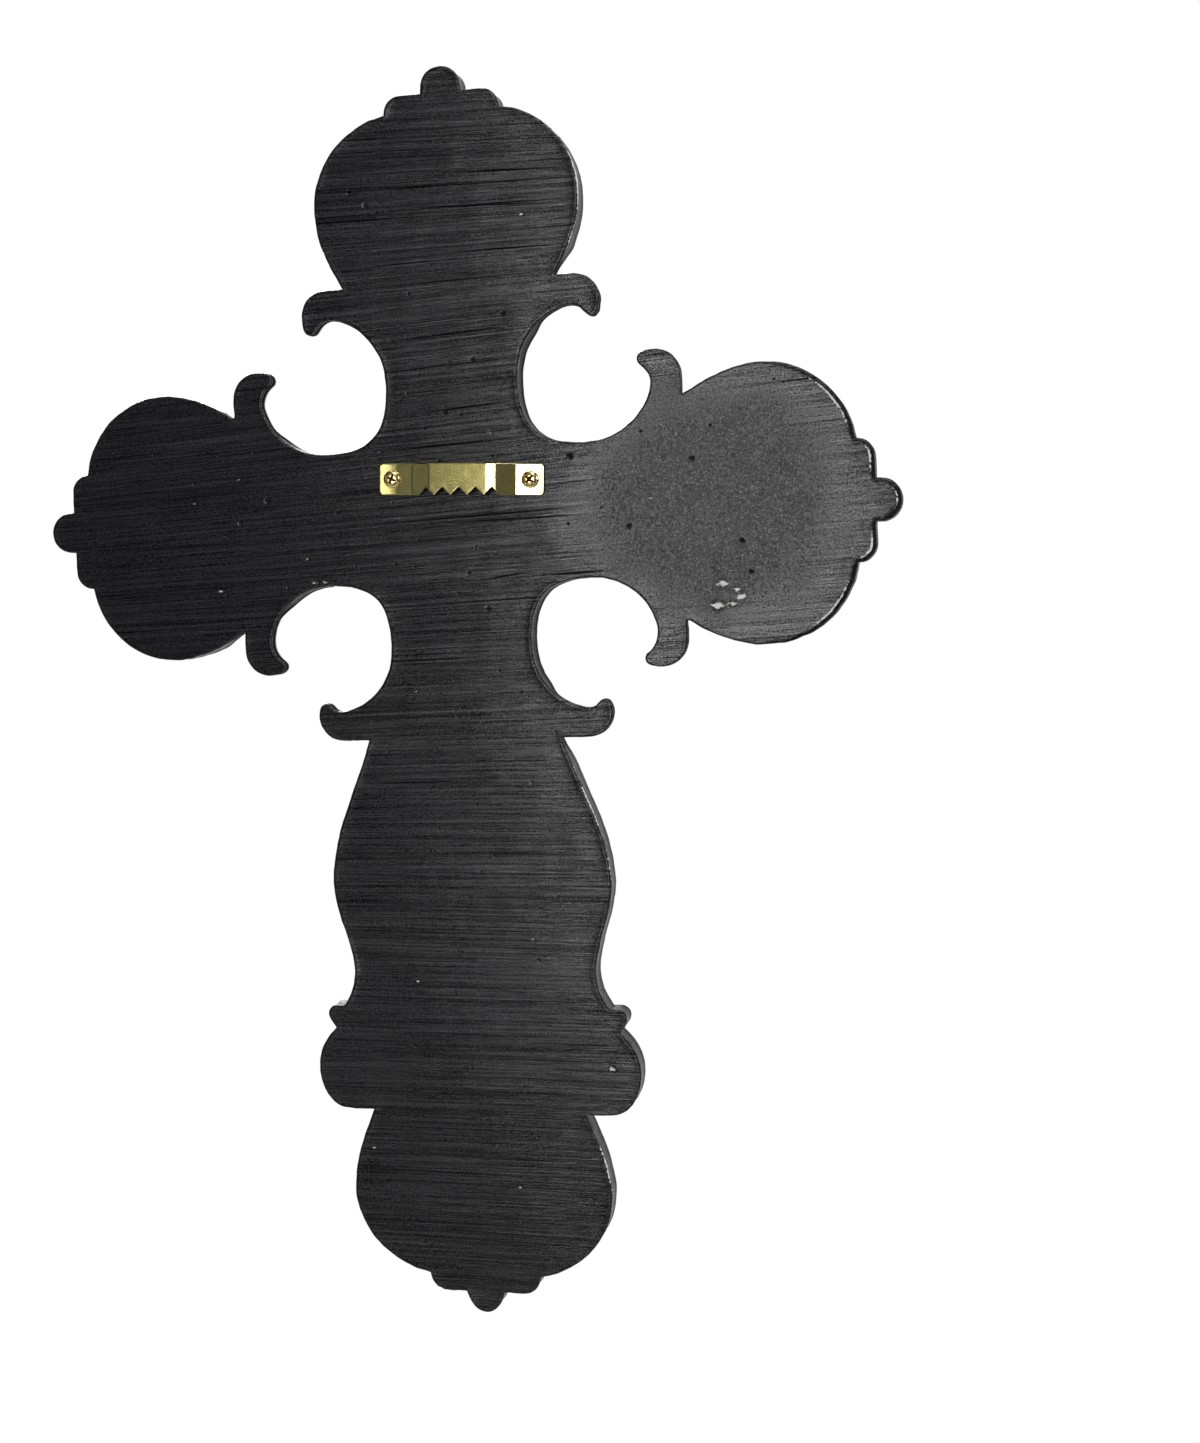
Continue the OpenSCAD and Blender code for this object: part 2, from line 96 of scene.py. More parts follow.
def signed_distance(points, loops, most=12.0, block=1200):
    """Distance from each point to the nearest line of the loops, positive inside.
    For a segment from a to b it is |p - a - t (b - a)|, with t = (p - a).(b - a) / |b - a|^2
    held between 0 and 1. A point is inside if a ray to its right crosses an odd number
    of segments. The points are taken in blocks of nearly one height, against only the
    segments near that height, so a distance over the given most is cut to it."""
    a = np.concatenate(loops).astype(np.float32)
    b = np.concatenate([np.roll(line, -1, 0) for line in loops]).astype(np.float32)
    order = np.argsort(points[:, 1])
    out = np.empty(len(points))
    for start in range(0, len(points), block):
        chosen = order[start : start + block]
        p = points[chosen].astype(np.float32)
        low, high = p[0, 1] - most, p[-1, 1] + most
        close = (np.maximum(a[:, 1], b[:, 1]) > low) & (np.minimum(a[:, 1], b[:, 1]) < high)
        if not close.any():
            out[chosen] = -most
            continue
        ax, az = a[close].T
        rx, rz = (b - a)[close].T
        px, pz = p[:, 0, None] - ax, p[:, 1, None] - az
        t = np.clip((px * rx + pz * rz) / (rx * rx + rz * rz), 0, 1)
        near = np.sqrt(((px - t * rx) ** 2 + (pz - t * rz) ** 2).min(1)).clip(0, most)
        spans = (pz < 0) != (pz < rz)
        ahead = px < pz * (rx / np.where(rz == 0, 1, rz))
        inside = (spans & ahead).sum(1) % 2 == 1
        out[chosen] = np.where(inside, near, -near)
    return out


# %% [markdown]
# ## The outline
#
# The back, the wall and the front all follow one outline. The part has it as a ring of
# points where the wall meets the worn back edge. That ring is read from a copy of the
# part, put in order by turning it into a curve, and smoothed: between two points each
# coordinate runs as a cubic, whose slope at a point is the slope between its neighbours.
# A sharp corner keeps a slope of its own on either side.

# %% Ring of the outline
BACK_EDGE = 0.5  # width of the worn edge round the ground back
low, high = (np.array(v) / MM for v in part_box("cross"))
BACK_Y = high[1]
RING_Y = BACK_Y - BACK_EDGE
HALF_SPAN = (high[0] - low[0]) / 2
CROSSING = np.array([(high[0] + low[0]) / 2, high[2] - HALF_SPAN])


def ring_of(node, y, tolerance=0.02):
    """Points of the node's outline at height y, in walking order, as (across, up)."""
    merged = bmesh.new()
    merged.from_mesh(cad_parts[node].data)
    bmesh.ops.remove_doubles(merged, verts=merged.verts, dist=1e-6)
    copy = bpy.data.meshes.new("ring")
    merged.to_mesh(copy)
    merged.free()
    co = np.empty(len(copy.vertices) * 3)
    copy.vertices.foreach_get("co", co)
    co = co.reshape(-1, 3) / MM
    edges = np.empty(len(copy.edges) * 2, np.int32)
    copy.edges.foreach_get("vertices", edges)
    edges = edges.reshape(-1, 2)
    at_ring = np.abs(co[:, 1] - y) < tolerance
    edges = edges[at_ring[edges].all(1)]
    copy.clear_geometry()
    copy.from_pydata(co, edges, [])
    walker = bpy.data.objects.new("ring", copy)
    bpy.context.scene.collection.objects.link(walker)
    bpy.ops.object.select_all(action="DESELECT")
    bpy.context.view_layer.objects.active = walker
    walker.select_set(True)
    bpy.ops.object.convert(target="CURVE")
    longest = max(walker.data.splines, key=lambda s: len(s.points))
    line = np.empty(len(longest.points) * 4, np.float32)
    longest.points.foreach_get("co", line)
    bpy.data.objects.remove(walker)
    return line.reshape(-1, 4)[:, [0, 2]].astype(float)


rough_outline = ring_of("cross", RING_Y)
print("outline of the part:", len(rough_outline), "points; crossing at", CROSSING.round(2))


# %% Smooth outline
STEP = 0.7  # distance between two points of the finished outline
CORNER = math.radians(30)  # a sharper turn than this is a corner


def smooth_loop(p, step):
    """Closed cubic curve through the points p, about step apart."""
    ahead = np.roll(p, -1, 0) - p
    length = np.linalg.norm(ahead, axis=1)
    slope = ahead / length[:, None]
    before, before_length = np.roll(slope, 1, 0), np.roll(length, 1)
    turn = np.arccos(np.clip((slope * before).sum(1), -1, 1))
    weight = (before_length / (before_length + length))[:, None]
    shared = weight * slope + (1 - weight) * before
    corner = (turn > CORNER)[:, None]
    leaving = np.where(corner, slope, shared)
    arriving = np.roll(np.where(corner, before, shared), -1, 0)
    pieces = np.maximum(1, np.round(length / step)).astype(int)
    k = np.repeat(np.arange(len(p)), pieces)
    first = np.cumsum(pieces) - pieces
    t = ((np.arange(len(k)) - first[k]) / pieces[k])[:, None]
    q = np.roll(p, -1, 0)
    reach = length[k, None]
    return (
        (2 * t**3 - 3 * t**2 + 1) * p[k]
        + (t**3 - 2 * t**2 + t) * reach * leaving[k]
        + (3 * t**2 - 2 * t**3) * q[k]
        + (t**3 - t**2) * reach * arriving[k]
    )


def inward(line):
    """Unit normal at each point of a closed line, towards the side that it encloses."""
    along = np.roll(line, -1, 0) - np.roll(line, 1, 0)
    normal = np.stack([-along[:, 1], along[:, 0]], 1)
    normal /= np.linalg.norm(normal, axis=1)[:, None]
    x, z = line.T
    area = (x * np.roll(z, -1) - z * np.roll(x, -1)).sum() / 2
    return normal * np.sign(area)


outline = smooth_loop(rough_outline, STEP)
print("smooth outline:", len(outline), "points")

# %% [markdown]
# ## How the edge is worn
#
# A mould leaves small lumps and hollows along its wall, and grinding breaks crumbs out
# of the back edge. Both only take material away, so the finished outline lies inside the
# part's, mostly by a tenth or two of a millimetre. The lumps are a sum of sine waves,
# and they are larger in two places on the side towards -X.

# %% Lumps and crumbs
LUMP = 0.14  # usual depth of the unevenness along the wall
CRUMB = 0.5  # depth of the largest crumb that could break out
LUMPY = [  # lumpier places: across, up, reach across, reach up, how much more
    (-82, -36, 22, 8, 1.4),  # the lower edge of the arm towards -X
    (-34, 42, 6, 6, 2.5),  # the upper hook on that side
]
lumpy = 1.0
for x, z, reach_x, reach_z, more in LUMPY:
    off = (outline - [x, z]) / [reach_x, reach_z]
    lumpy = lumpy + more * np.exp(-(off**2).sum(1))
lump = ripple(outline, 7, seed=3) + 0.6 * ripple(outline, 2.6, seed=4)
crumb = np.clip(ripple(outline, 3.2, seed=5) - 1.15, 0, 1)
outline = outline + inward(outline) * (
    LUMP * lumpy * (lump + 1.6).clip(0, 3) / 2 + CRUMB * crumb
)[:, None]
print("deepest crumb:", round(float(CRUMB * crumb.max()), 2), "mm")

# %% [markdown]
# ## The flat faces
#
# Each face is a height field over the outline: the height of a point depends on where it
# is and on how far it lies from the edge. Near the edge the points follow the outline in
# a few close rows, so that the rounded edge is even. The rest is a three-way lattice, and
# all are joined by a Delaunay triangulation that is held to the outline.
#
# The back carries marks that need finer points: round pits, where bubbles in the resin
# were cut open by grinding, and flat chips, where the paint has come off the white
# filler. Round each mark the lattice gives way to rings of points.

# %% Points of a face
def lattice(loops, pitch):
    """Points of an even three-way lattice over the box round the loops."""
    lo, hi = np.concatenate(loops).min(0), np.concatenate(loops).max(0)
    rows = np.arange(lo[1], hi[1], pitch * math.sqrt(3) / 2)
    x = np.arange(lo[0], hi[0], pitch)
    across, up = np.meshgrid(x, rows)
    across = across + (np.arange(len(rows)) % 2)[:, None] * pitch / 2
    return np.stack([across, up], -1).reshape(-1, 2)


def rings_round(spots, rings, sides):
    """Points on rings round each spot (across, up, radius), the spot's middle included."""
    spots = np.array(spots, float)
    angle = np.arange(sides) * 2 * math.pi / sides
    turned = angle + np.array(rings)[:, None] * 1.3
    circle = np.stack([np.cos(turned), np.sin(turned)], -1) * np.array(rings)[:, None, None]
    circle = np.concatenate([np.zeros((1, 2)), circle.reshape(-1, 2)])
    return (spots[:, None, :2] + spots[:, None, 2:] * circle).reshape(-1, 2)


def face_points(loops, edge_rows, pitch, spots=(), rings=(), sides=10):
    """Points of a face: the loops, rows beside them at the given distances, the rings
    round the spots, and a lattice over the rest. Each loop is a line and 1, or -1 if the
    line goes round a hole. A row is left out where it runs into another."""
    rows = [line + inward(line) * d * turn for line, turn in loops for d in edge_rows]
    wanted = np.concatenate([np.full(len(line), d) for line, _ in loops for d in edge_rows])
    rows = np.concatenate(rows)
    lines = [line for line, _ in loops]
    kept = [rows[signed_distance(rows, lines) > wanted - 0.04]]
    even = lattice(lines, pitch)
    even = even[signed_distance(even, lines) > edge_rows[-1] + 0.55 * pitch]
    if len(spots):
        close = rings_round(spots, rings, sides)
        close = close[signed_distance(close, lines) > edge_rows[-1] + 0.2]
        s = np.array(spots, float)
        gap = np.linalg.norm(even[:, None] - s[None, :, :2], axis=2) - s[:, 2] * rings[-1]
        even = even[gap.min(1) > 0.45 * pitch]
        kept.append(close)
    return np.concatenate([*lines, *kept, even])


def triangles(points, loops):
    """Delaunay triangulation of the points, held to the loops, which come first."""
    start = np.cumsum([0] + [len(line) for line in loops])
    walls = [list(range(a, b)) for a, b in zip(start[:-1], start[1:])]
    co, _, faces, *_ = delaunay_2d_cdt(points.tolist(), [], walls, INSIDE_WITH_HOLES, 1e-6)
    return np.array(co), np.array(faces)


# %% [markdown]
# ## Pits and chips in the back
#
# The larger pits and chips are placed one by one, as (across, up, radius); a sprinkling
# of small ones is drawn at random, more of them over the side arms, where the resin was
# poured last.

# %% Marks
PITS = [
    (26, 73.5, 0.5), (22, 70, 0.45), (-12, 41.5, 0.5), (37, 48, 0.4), (-4, 31, 0.45),
    (3.5, 18.5, 0.45), (-27.5, 6.5, 0.55), (58.5, -6.5, 0.5), (51, -1, 0.6),
    (-57.5, 4.5, 0.5), (-69, -15.5, 0.5), (-71, -23, 0.45), (-41.5, -11, 0.5),
    (-1, -21, 0.4), (-5.5, -30, 0.45), (-26, 14, 0.4), (-31, 15.5, 0.35), (-36, 14.5, 0.4),
]
CHIPS = [
    (-64, -25.7, 1.3), (-67.5, -27.2, 0.9), (-62.8, -30.8, 1.6), (-66.3, -30.5, 1.0),
    (-68.6, -28.8, 1.1), (41, -16, 0.5), (39, -22, 0.8), (36.5, -22, 0.6), (65, -23.5, 0.5),
    (-8, 13, 0.5), (-47, -4.5, 0.45), (-17.5, 65, 0.45), (58.5, 4.5, 0.4), (71, -1, 0.4),
    (13.5, -50, 0.4), (22, -65, 0.4), (-15, -73, 0.45), (-14, -112.5, 0.4),
    (16.5, -123.5, 0.35), (30, -167, 0.4), (-8.5, -176, 0.35), (-33, -145, 0.9),
]
rng = np.random.default_rng(11)
SMALL = 46
reach = np.stack([rng.normal(0, 52, SMALL), rng.normal(2, 16, SMALL)], 1)
tall = np.stack([rng.normal(2, 12, SMALL), rng.uniform(-180, 80, SMALL)], 1)
scattered = np.concatenate([reach, tall])
scattered = scattered[signed_distance(scattered, [outline]) > 3]
apart = np.linalg.norm(scattered[:, None] - np.array(PITS + CHIPS)[:, :2], axis=2).min(1)
scattered = scattered[apart > 4]
pores = np.c_[scattered, rng.uniform(0.14, 0.3, len(scattered))]
print(len(PITS), "pits,", len(CHIPS), "chips and", len(pores), "small pores")


def bowls(points, spots, depth, rim=0.25):
    """Depth of round bowls at the points: the depth times the radius out to half the
    radius, and from there a smooth step down to 0 at 1 + rim of it."""
    spots = np.array(spots, float)
    r = np.linalg.norm(points[:, None] - spots[:, :2], axis=2) / spots[:, 2]
    return (depth * spots[:, 2] * ease((1 + rim - r) / (0.5 + rim))).max(1)


# %% [markdown]
# ## The ground back
#
# Grinding by hand leaves the face a little wavy and slightly rounded towards the edge.
# The waves are about a tenth of a millimetre high, which nobody feels but anybody sees
# in the sheen. The end of one arm, towards -X, was never reached by the belt: it is a
# shallow dish with the skin that the resin set with.

# %% Height of the back
DISH = np.array([-62.0, -6.0])
DISH_SIZE = np.array([32.0, 30.0])
DISH_RIM, DISH_FADE = 1.42, 0.8  # where it has ended and over how much, as shares of its size
DISH_DEPTH = 0.3
ROLLED_FROM, ROLLED_OVER = -72.0, 12.0  # where the back edge starts to be rolled over
ROLL_WIDTH = 1.2  # how much wider the worn edge is there
WAVES = [(0.05, 34, 32), (0.02, 9, 33)]  # height, pitch and seed of the hand's waves
PIT_DEPTH, PORE_DEPTH, CHIP_DEPTH = 0.8, 0.9, 0.12  # as shares of a mark's radius
BACK_ROWS = (0.12, 0.28, 0.5, 0.8, 1.1, 1.4, 1.8)  # distances inside the outline
BACK_PITCH = 1.5
MARK_RINGS = (0.35, 0.7, 1, 1.4, 2.2)  # as shares of a mark's radius


def dish(points):
    """1 in the middle of the unground dish, 0 outside it, with an uneven rim."""
    r = np.linalg.norm((points - DISH) / DISH_SIZE, axis=1)
    return ease((DISH_RIM - r + 0.1 * ripple(points, 14, seed=21)) / DISH_FADE)


def rolled(points):
    """1 along the end of the arm towards -X, where the back edge is rolled over, else 0."""
    return ease((ROLLED_FROM - points[:, 0]) / ROLLED_OVER)


def rounded_edge(d, width, height):
    """Drop of a rounded edge at distance d inside it: height (1 - root(1 - s^2)), where
    s goes from 1 at the edge to 0 at the given width."""
    s = np.clip(1 - d / width, 0, 1)
    return height * (1 - np.sqrt(1 - s * s))


def back_height(points, d):
    """Y of the back face over each point that lies d inside the outline."""
    worn = BACK_EDGE * (1 + 0.35 * ripple(points, 9, seed=31)).clip(0.5, 1.6)
    worn = worn + ROLL_WIDTH * rolled(points)
    sunk = rounded_edge(d, worn, BACK_EDGE)
    waves = sum(h * (1 + ripple(points, pitch, seed)).clip(0, 2) for h, pitch, seed in WAVES)
    marks = bowls(points, PITS, PIT_DEPTH) + bowls(points, pores, PORE_DEPTH)
    marks = marks + bowls(points, CHIPS, CHIP_DEPTH)
    hollow = DISH_DEPTH * ease(d / 10) * dish(points) ** 2
    return BACK_Y - sunk - hollow - ease(d / 2) * (waves + marks)


MARKS = PITS + CHIPS + pores.tolist()
back, back_faces = triangles(
    face_points([(outline, 1)], BACK_ROWS, BACK_PITCH, MARKS, MARK_RINGS), [outline]
)
back_d = signed_distance(back, [outline])
back_y = back_height(back, np.maximum(back_d, 0))
rim = len(outline)
back_y[:rim] = RING_Y
print("back:", len(back), "points,", len(back_faces), "triangles")

# %% [markdown]
# ## The carved front
#
# The front is finished in keeping with the outline, but plainly: a turned rib along each
# arm and down the shaft, and a rosette at the crossing. Each is a height over the flat
# front, and the highest one at a point wins, with a small fillet, as in a mould cut with
# round tools. Every blend lowers what stands clear by a sixth of a millimetre, so the
# bead, domes, scrolls and buttons, which come first, all but sink into the flat front.

# %% Height of the front
BODY_T = 7.0
FRONT_Y = BACK_Y - BODY_T
FRONT_EDGE = 1.2
RELIEF = FRONT_Y - low[1] - 0.1  # highest carving, just inside the part
LOBE_AT, LOBE_TOP = HALF_SPAN - 32.5, HALF_SPAN - 10.6
UPPER = (33.5, 33.5, 16.5)  # an opening: across and up from the crossing, radius
LOWER = (34.1, -32.0, 15.8)
SHAFT_MARKS = {"ring": 47.0, "belly": 91.6, "thin": 122.5, "roll": 139.0, "foot": 170.5}
HOOKS = [(31.9, 51.0), (51.0, 31.9), (50.9, -31.9), (31.9, -48.8)]
HOOK_FADE = 13.5  # distance from a hook's middle at which its round section has gone
BAR_WIDTH, BAR_HEIGHT = 5.0, 5.6  # of the rounding there
FRONT_ROWS = (0.08, 0.26, 0.55, 0.95, 1.4, 1.9)  # distances inside the outline
FRONT_PITCH = 0.86


def rib(along, across, stations, sunk=4.0):
    """Half-round rib: root(r^2 - across^2) - sunk, with the radius r through stations.
    Flutes run along it where it swells."""
    r = through(along, stations)
    round_part = np.sqrt(np.maximum(r * r - across * across, 0))
    swelling = ease((r - 7) / 2)
    flutes = 0.22 * swelling * np.cos(9 * np.arcsin(np.clip(across / r, -1, 1)))
    live = (along > 0) & (along < stations[-1][0])
    return np.where(live, round_part - sunk + flutes, -sunk)


def dome(points, middle, radius, height, flutes=0, depth=0.3):
    """Low dome: height (1 - (r / radius)^2), fluted like a shell towards its rim."""
    off = points - middle
    r = np.linalg.norm(off, axis=1) / radius
    shell = depth * np.cos(flutes * np.arctan2(off[:, 1], off[:, 0])) * ease(2 * r - 0.4)
    return np.where(r < 1.2, height * (1 - r * r) + (shell * (r < 1) if flutes else 0), -1)


def scroll(points, opening, tube=2.6, inset=4.0, sunk=1.0, sweep=112):
    """Half-round ring round an opening, open towards the outer corner, with a ball at
    either end: root(tube^2 - (distance from its middle line)^2) - sunk."""
    x, z, radius = opening
    off = (points - [x, z]) * [1, np.sign(z)]
    bend = radius + inset
    angle = np.degrees(np.arctan2(-off[:, 1], -off[:, 0])) - 45
    angle = (angle + 180) % 360 - 180
    r = np.linalg.norm(off, axis=1)
    line = np.where(np.abs(angle) < sweep, np.abs(r - bend), 99)
    height = np.sqrt(np.maximum(tube**2 - line**2, 0)) - sunk
    for side in (-1, 1):
        turn = math.radians(225 + side * sweep)
        end = bend * np.array([math.cos(turn), math.sin(turn)])
        ball = np.maximum((tube + 0.4) ** 2 - ((off - end) ** 2).sum(1), 0)
        height = np.maximum(height, np.sqrt(ball) - sunk)
    return height


def folded(points):
    """The points from the crossing, with the half towards -X laid over the other, so
    that what is drawn once comes out on both sides."""
    p = points - CROSSING
    return np.stack([np.abs(p[:, 0]), p[:, 1]], 1)


def front_relief(points, d):
    """Height of the carving over the front face, for points that lie d inside."""
    p = points - CROSSING
    mirrored = folded(points)
    arm = [
        (0, 6), (42, 6), (48, 7.8), (54, 5.4), (LOBE_AT, 9), (LOBE_TOP - 2, 3),
    ]
    m = SHAFT_MARKS
    stem = [
        (0, 6), (m["ring"] - 7, 6), (m["ring"], 7.8), (m["ring"] + 10, 5.4),
        (m["belly"], 9.8), (m["thin"], 5.4), (m["roll"], 9), (m["roll"] + 16, 5.4),
        (m["foot"], 9), (m["foot"] + 19, 3),
    ]
    h = 0.9 * np.sqrt(np.maximum(1 - ((d - 3.2) / 1.5) ** 2, 0))
    h = soft_max(h, dome(mirrored, (LOBE_AT, 0), 25, 2, flutes=18))
    for z in (LOBE_AT, -m["foot"]):
        h = soft_max(h, dome(p, (0, z), 25, 2, flutes=18))
    for opening in (UPPER, LOWER):
        h = soft_max(h, scroll(mirrored, opening))
    for hook in HOOKS:
        h = soft_max(h, dome(mirrored, hook, 3, 2))
    h = soft_max(h, rib(p[:, 1], p[:, 0], arm))
    h = soft_max(h, rib(mirrored[:, 0], p[:, 1], arm))
    h = soft_max(h, rib(-p[:, 1], p[:, 0], stem))
    h = soft_max(h, dome(p, (0, 0), 15, 2.6, flutes=8, depth=0.5))
    h = soft_max(h, dome(p, (0, 0), 9, 5, flutes=8, depth=0.35))
    return np.minimum(np.maximum(h, 0), RELIEF) * ease((d - 0.8) / 1.2)


def front_edge(points):
    """Width and height of the rounded front edge at each point: 1.2 mm all round, but
    the hooks are half-round bars, rounded over nearly the whole thickness."""
    r = np.linalg.norm(folded(points)[:, None] - np.array(HOOKS), axis=2).min(1)
    hooked = ease((HOOK_FADE - r) / 5)
    width = FRONT_EDGE + hooked * (BAR_WIDTH - FRONT_EDGE)
    height = FRONT_EDGE + hooked * (BAR_HEIGHT - FRONT_EDGE)
    return width, height


front, front_faces = triangles(
    face_points([(outline, 1)], FRONT_ROWS, FRONT_PITCH), [outline]
)
front_d = np.maximum(signed_distance(front, [outline]), 0)
front_y = FRONT_Y + rounded_edge(front_d, *front_edge(front))
front_y -= front_relief(front, front_d)
front_ring = FRONT_Y + front_edge(outline)[1]  # where the wall meets the front edge
front_y[:rim] = front_ring
print("front:", len(front), "points,", len(front_faces), "triangles")

# %% [markdown]
# ## The wall between them
#
# The wall is the outline drawn straight back, in a few rows. Between the two edges it is
# a little hollow and uneven, as the mould left it.

# %% Wall rows and the whole casting
ROWS = np.array([0.06, 0.17, 0.38, 0.62, 0.84])  # places between back ring and front ring
wall_y = RING_Y + ROWS[:, None] * (front_ring - RING_Y)
normal = inward(outline)


def wall_row(k):
    """Points of one row of the wall, taken in by up to a quarter of a millimetre."""
    uneven = 0.12 * (1 + ripple(outline, 5, seed=50 + k) + 0.3 * k).clip(0, 2)
    line = outline + normal * uneven[:, None]
    return np.stack([line[:, 0], wall_y[k], line[:, 1]], 1)


def joined(over, under, count):
    """Triangles between two closed rows of count points that start at over and under."""
    i = np.arange(count)
    j = (i + 1) % count
    return np.concatenate([
        np.stack([over + i, over + j, under + j], 1),
        np.stack([over + i, under + j, under + i], 1),
    ])


def facing_out(points, faces):
    """The triangles of a closed surface, all turned outwards: first alike, and then over
    if the volume that they enclose comes out negative."""
    mesh = bpy.data.meshes.new("surface")
    mesh.from_pydata(points, [], faces)
    shape = bmesh.new()
    shape.from_mesh(mesh)
    bmesh.ops.recalc_face_normals(shape, faces=shape.faces)
    shape.to_mesh(mesh)
    shape.free()
    out = np.empty(len(mesh.loops), np.int32)
    mesh.loops.foreach_get("vertex_index", out)
    bpy.data.meshes.remove(mesh)
    out = out.reshape(-1, 3)
    a, b, c = points[out].transpose(1, 0, 2)
    volume = (a * np.cross(b, c)).sum() / 6
    return out if volume > 0 else out[:, ::-1]


def flat_side(points, y):
    """The points of a face in space, at the heights y."""
    return np.stack([points[:, 0], y, points[:, 1]], 1)


rows = [wall_row(k) for k in range(len(ROWS))]
n_back, n_front = len(back), len(front)
casting_points = np.concatenate([flat_side(back, back_y), flat_side(front, front_y), *rows])
starts = [0] + [n_back + n_front + k * rim for k in range(len(rows))] + [n_back]
wall_faces = [joined(a, b, rim) for a, b in zip(starts[:-1], starts[1:])]
casting_faces = facing_out(
    casting_points, np.concatenate([back_faces, front_faces + n_back, *wall_faces])
)
print("casting:", len(casting_points), "points,", len(casting_faces), "triangles")


# %% Making a piece
def make_piece(name, points, faces, node, slot, **attributes):
    """Mesh object at the origin from points in millimetres, in place of a part's node.
    Each attribute is one value a point."""
    mesh = bpy.data.meshes.new(name)
    mesh.from_pydata(points * MM, [], faces)
    mesh.shade_smooth()
    for key, values in attributes.items():
        layer = mesh.attributes.new(key, "FLOAT", "POINT")
        layer.data.foreach_set("value", np.asarray(values, np.float32))
    piece = bpy.data.objects.new(name, mesh)
    bpy.context.scene.collection.objects.link(piece)
    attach(piece, "root")
    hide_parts(node)
    return piece


# %% [markdown]
# ## Where the paint has gone, and where shade is painted
#
# Three values travel with the points of the casting, for the paint to read:
#
# - bare: how far the white filler shows, at the chips, along the stretches of the back
#   edge that have been knocked, and a little wherever the paint is thin on the edge;
# - cast: 1 where the resin's own skin lies under the paint, in the dish and on the wall
#   and front, and 0 where the belt left its scratches;
# - pitted: painted shade, with less sheen: in a pit, as a dark line along the wall
#   behind the back edge, deep in the openings, and lighter over the rest of the wall and
#   the rolled edge.

# %% Values for the paint
KNOCKS = [  # stretches of worn edge: across, up, reach, strength
    (-30, 72, 11, 1.0), (-25, 84, 8, 0.7), (-28, 59, 6, 0.7), (-92, 17, 11, 0.9),
    (-100, 3, 5, 0.9), (-105, -7, 4, 0.8), (-99, -18, 5, 1.0), (-91, -33, 11, 0.9),
    (-28, -79, 12, 0.8), (-32, -94, 7, 0.6), (-29, -170, 9, 0.8), (-24, -158, 6, 0.6),
    (88, 24, 6, 0.5), (-20, 95, 5, 0.5),
]


def knocked(points):
    """Strongest of the knocks at each point: strength (1 - (r / reach)^2)."""
    k = np.array(KNOCKS, float)
    r = np.linalg.norm(points[:, None] - k[:, :2], axis=2) / k[:, 2]
    return (k[:, 3] * np.clip(1 - r * r, 0, 1)).max(1)


def near_spots(points, spots, spread=1.3, stretch=1.0):
    """1 at the middle of a spot, 0 from spread times its radius on, that radius being
    longer across and shorter up by the stretch."""
    spots = np.array(spots, float)
    off = (points[:, None] - spots[:, :2]) * [1 / stretch, stretch]
    r = np.linalg.norm(off, axis=2) / spots[:, 2]
    return np.clip(1 - r / spread, 0, 1).max(1)


LARGE_CHIP = 0.6  # from this radius a chip goes right down to the filler
CHIP_BARE, SPECK_BARE, EDGE_BARE, WALL_BARE = 0.85, 0.54, 0.92, 0.8
LINE_WIDTH = 0.33  # of the bare line along a knocked edge
# painted shadow: how dark the line along the wall, just behind the back edge, is painted
SHADOW_LINE = 0.85  # darkness of the groove behind the back edge


def chip_value(points):
    """How bare the chips are: the large ones fully, the small ones only in part."""
    large = [chip for chip in CHIPS if chip[2] >= LARGE_CHIP]
    small = [chip for chip in CHIPS if chip[2] < LARGE_CHIP]
    return np.maximum(
        CHIP_BARE * near_spots(points, large, 1.5, 1.35),
        SPECK_BARE * near_spots(points, small, 2.2, 1.6),
    )


from_line = np.maximum(back_d, 0) - ROLL_WIDTH * rolled(back)
edge_band = np.exp(-((from_line / LINE_WIDTH) ** 2))
half_outline = folded(outline)
in_opening = np.max([
    ease((r + 4 - np.linalg.norm(half_outline - [x, z], axis=1)) / 2)
    for x, z, r in (UPPER, LOWER)
], 0)
# painted shade over the wall, deeper in the openings; the same value also dulls the wall's
# sheen
shaded = 0.5 + 0.4 * in_opening  # the wall is duller than the back
thin_line = 0.24 + 0.2 * ripple(outline, 6, seed=61)  # paint is thin along the edge
first_row = np.maximum(WALL_BARE * knocked(outline) * (1 - rolled(outline)), thin_line)
bare = np.concatenate([
    np.maximum(chip_value(back), EDGE_BARE * edge_band * knocked(back)),
    np.zeros(n_front), first_row, np.zeros((len(rows) - 1) * rim),
])
bare[:rim] = np.maximum(bare[:rim], thin_line)
cast = np.concatenate([dish(back), np.ones(n_front + len(rows) * rim)])
# painted shade in the pits and pores
pit_shade = near_spots(back, PITS, 1.1) + near_spots(back, pores, 1.2)
dull_edge = 0.25 * rolled(back) * ease((ROLL_WIDTH - back_d) / 0.6)
# painted shade at each point: pits and the rolled edge on the back, the wall's shade on the
# front's rim and most of the wall, and a painted shadow line on the wall's second row
pitted = np.concatenate([
    np.clip(pit_shade + dull_edge, 0, 0.75),
    shaded, np.zeros(n_front - rim),
    np.zeros(rim), np.full(rim, SHADOW_LINE), *[shaded] * (len(rows) - 2),
])
casting = make_piece(
    "cast_cross", casting_points, casting_faces, "cross", "painted_resin",
    bare=bare, cast=cast, pitted=pitted,
)

# %% [markdown]
# ## The brass hanger
#
# The strip is stamped from sheet brass in one blow: a row of V teeth along one edge, a
# hole at each end, and two double bends that stand its middle off the wood like a bridge.
# It is drawn flat first, as an outline with two holes, and then lifted by the bends.

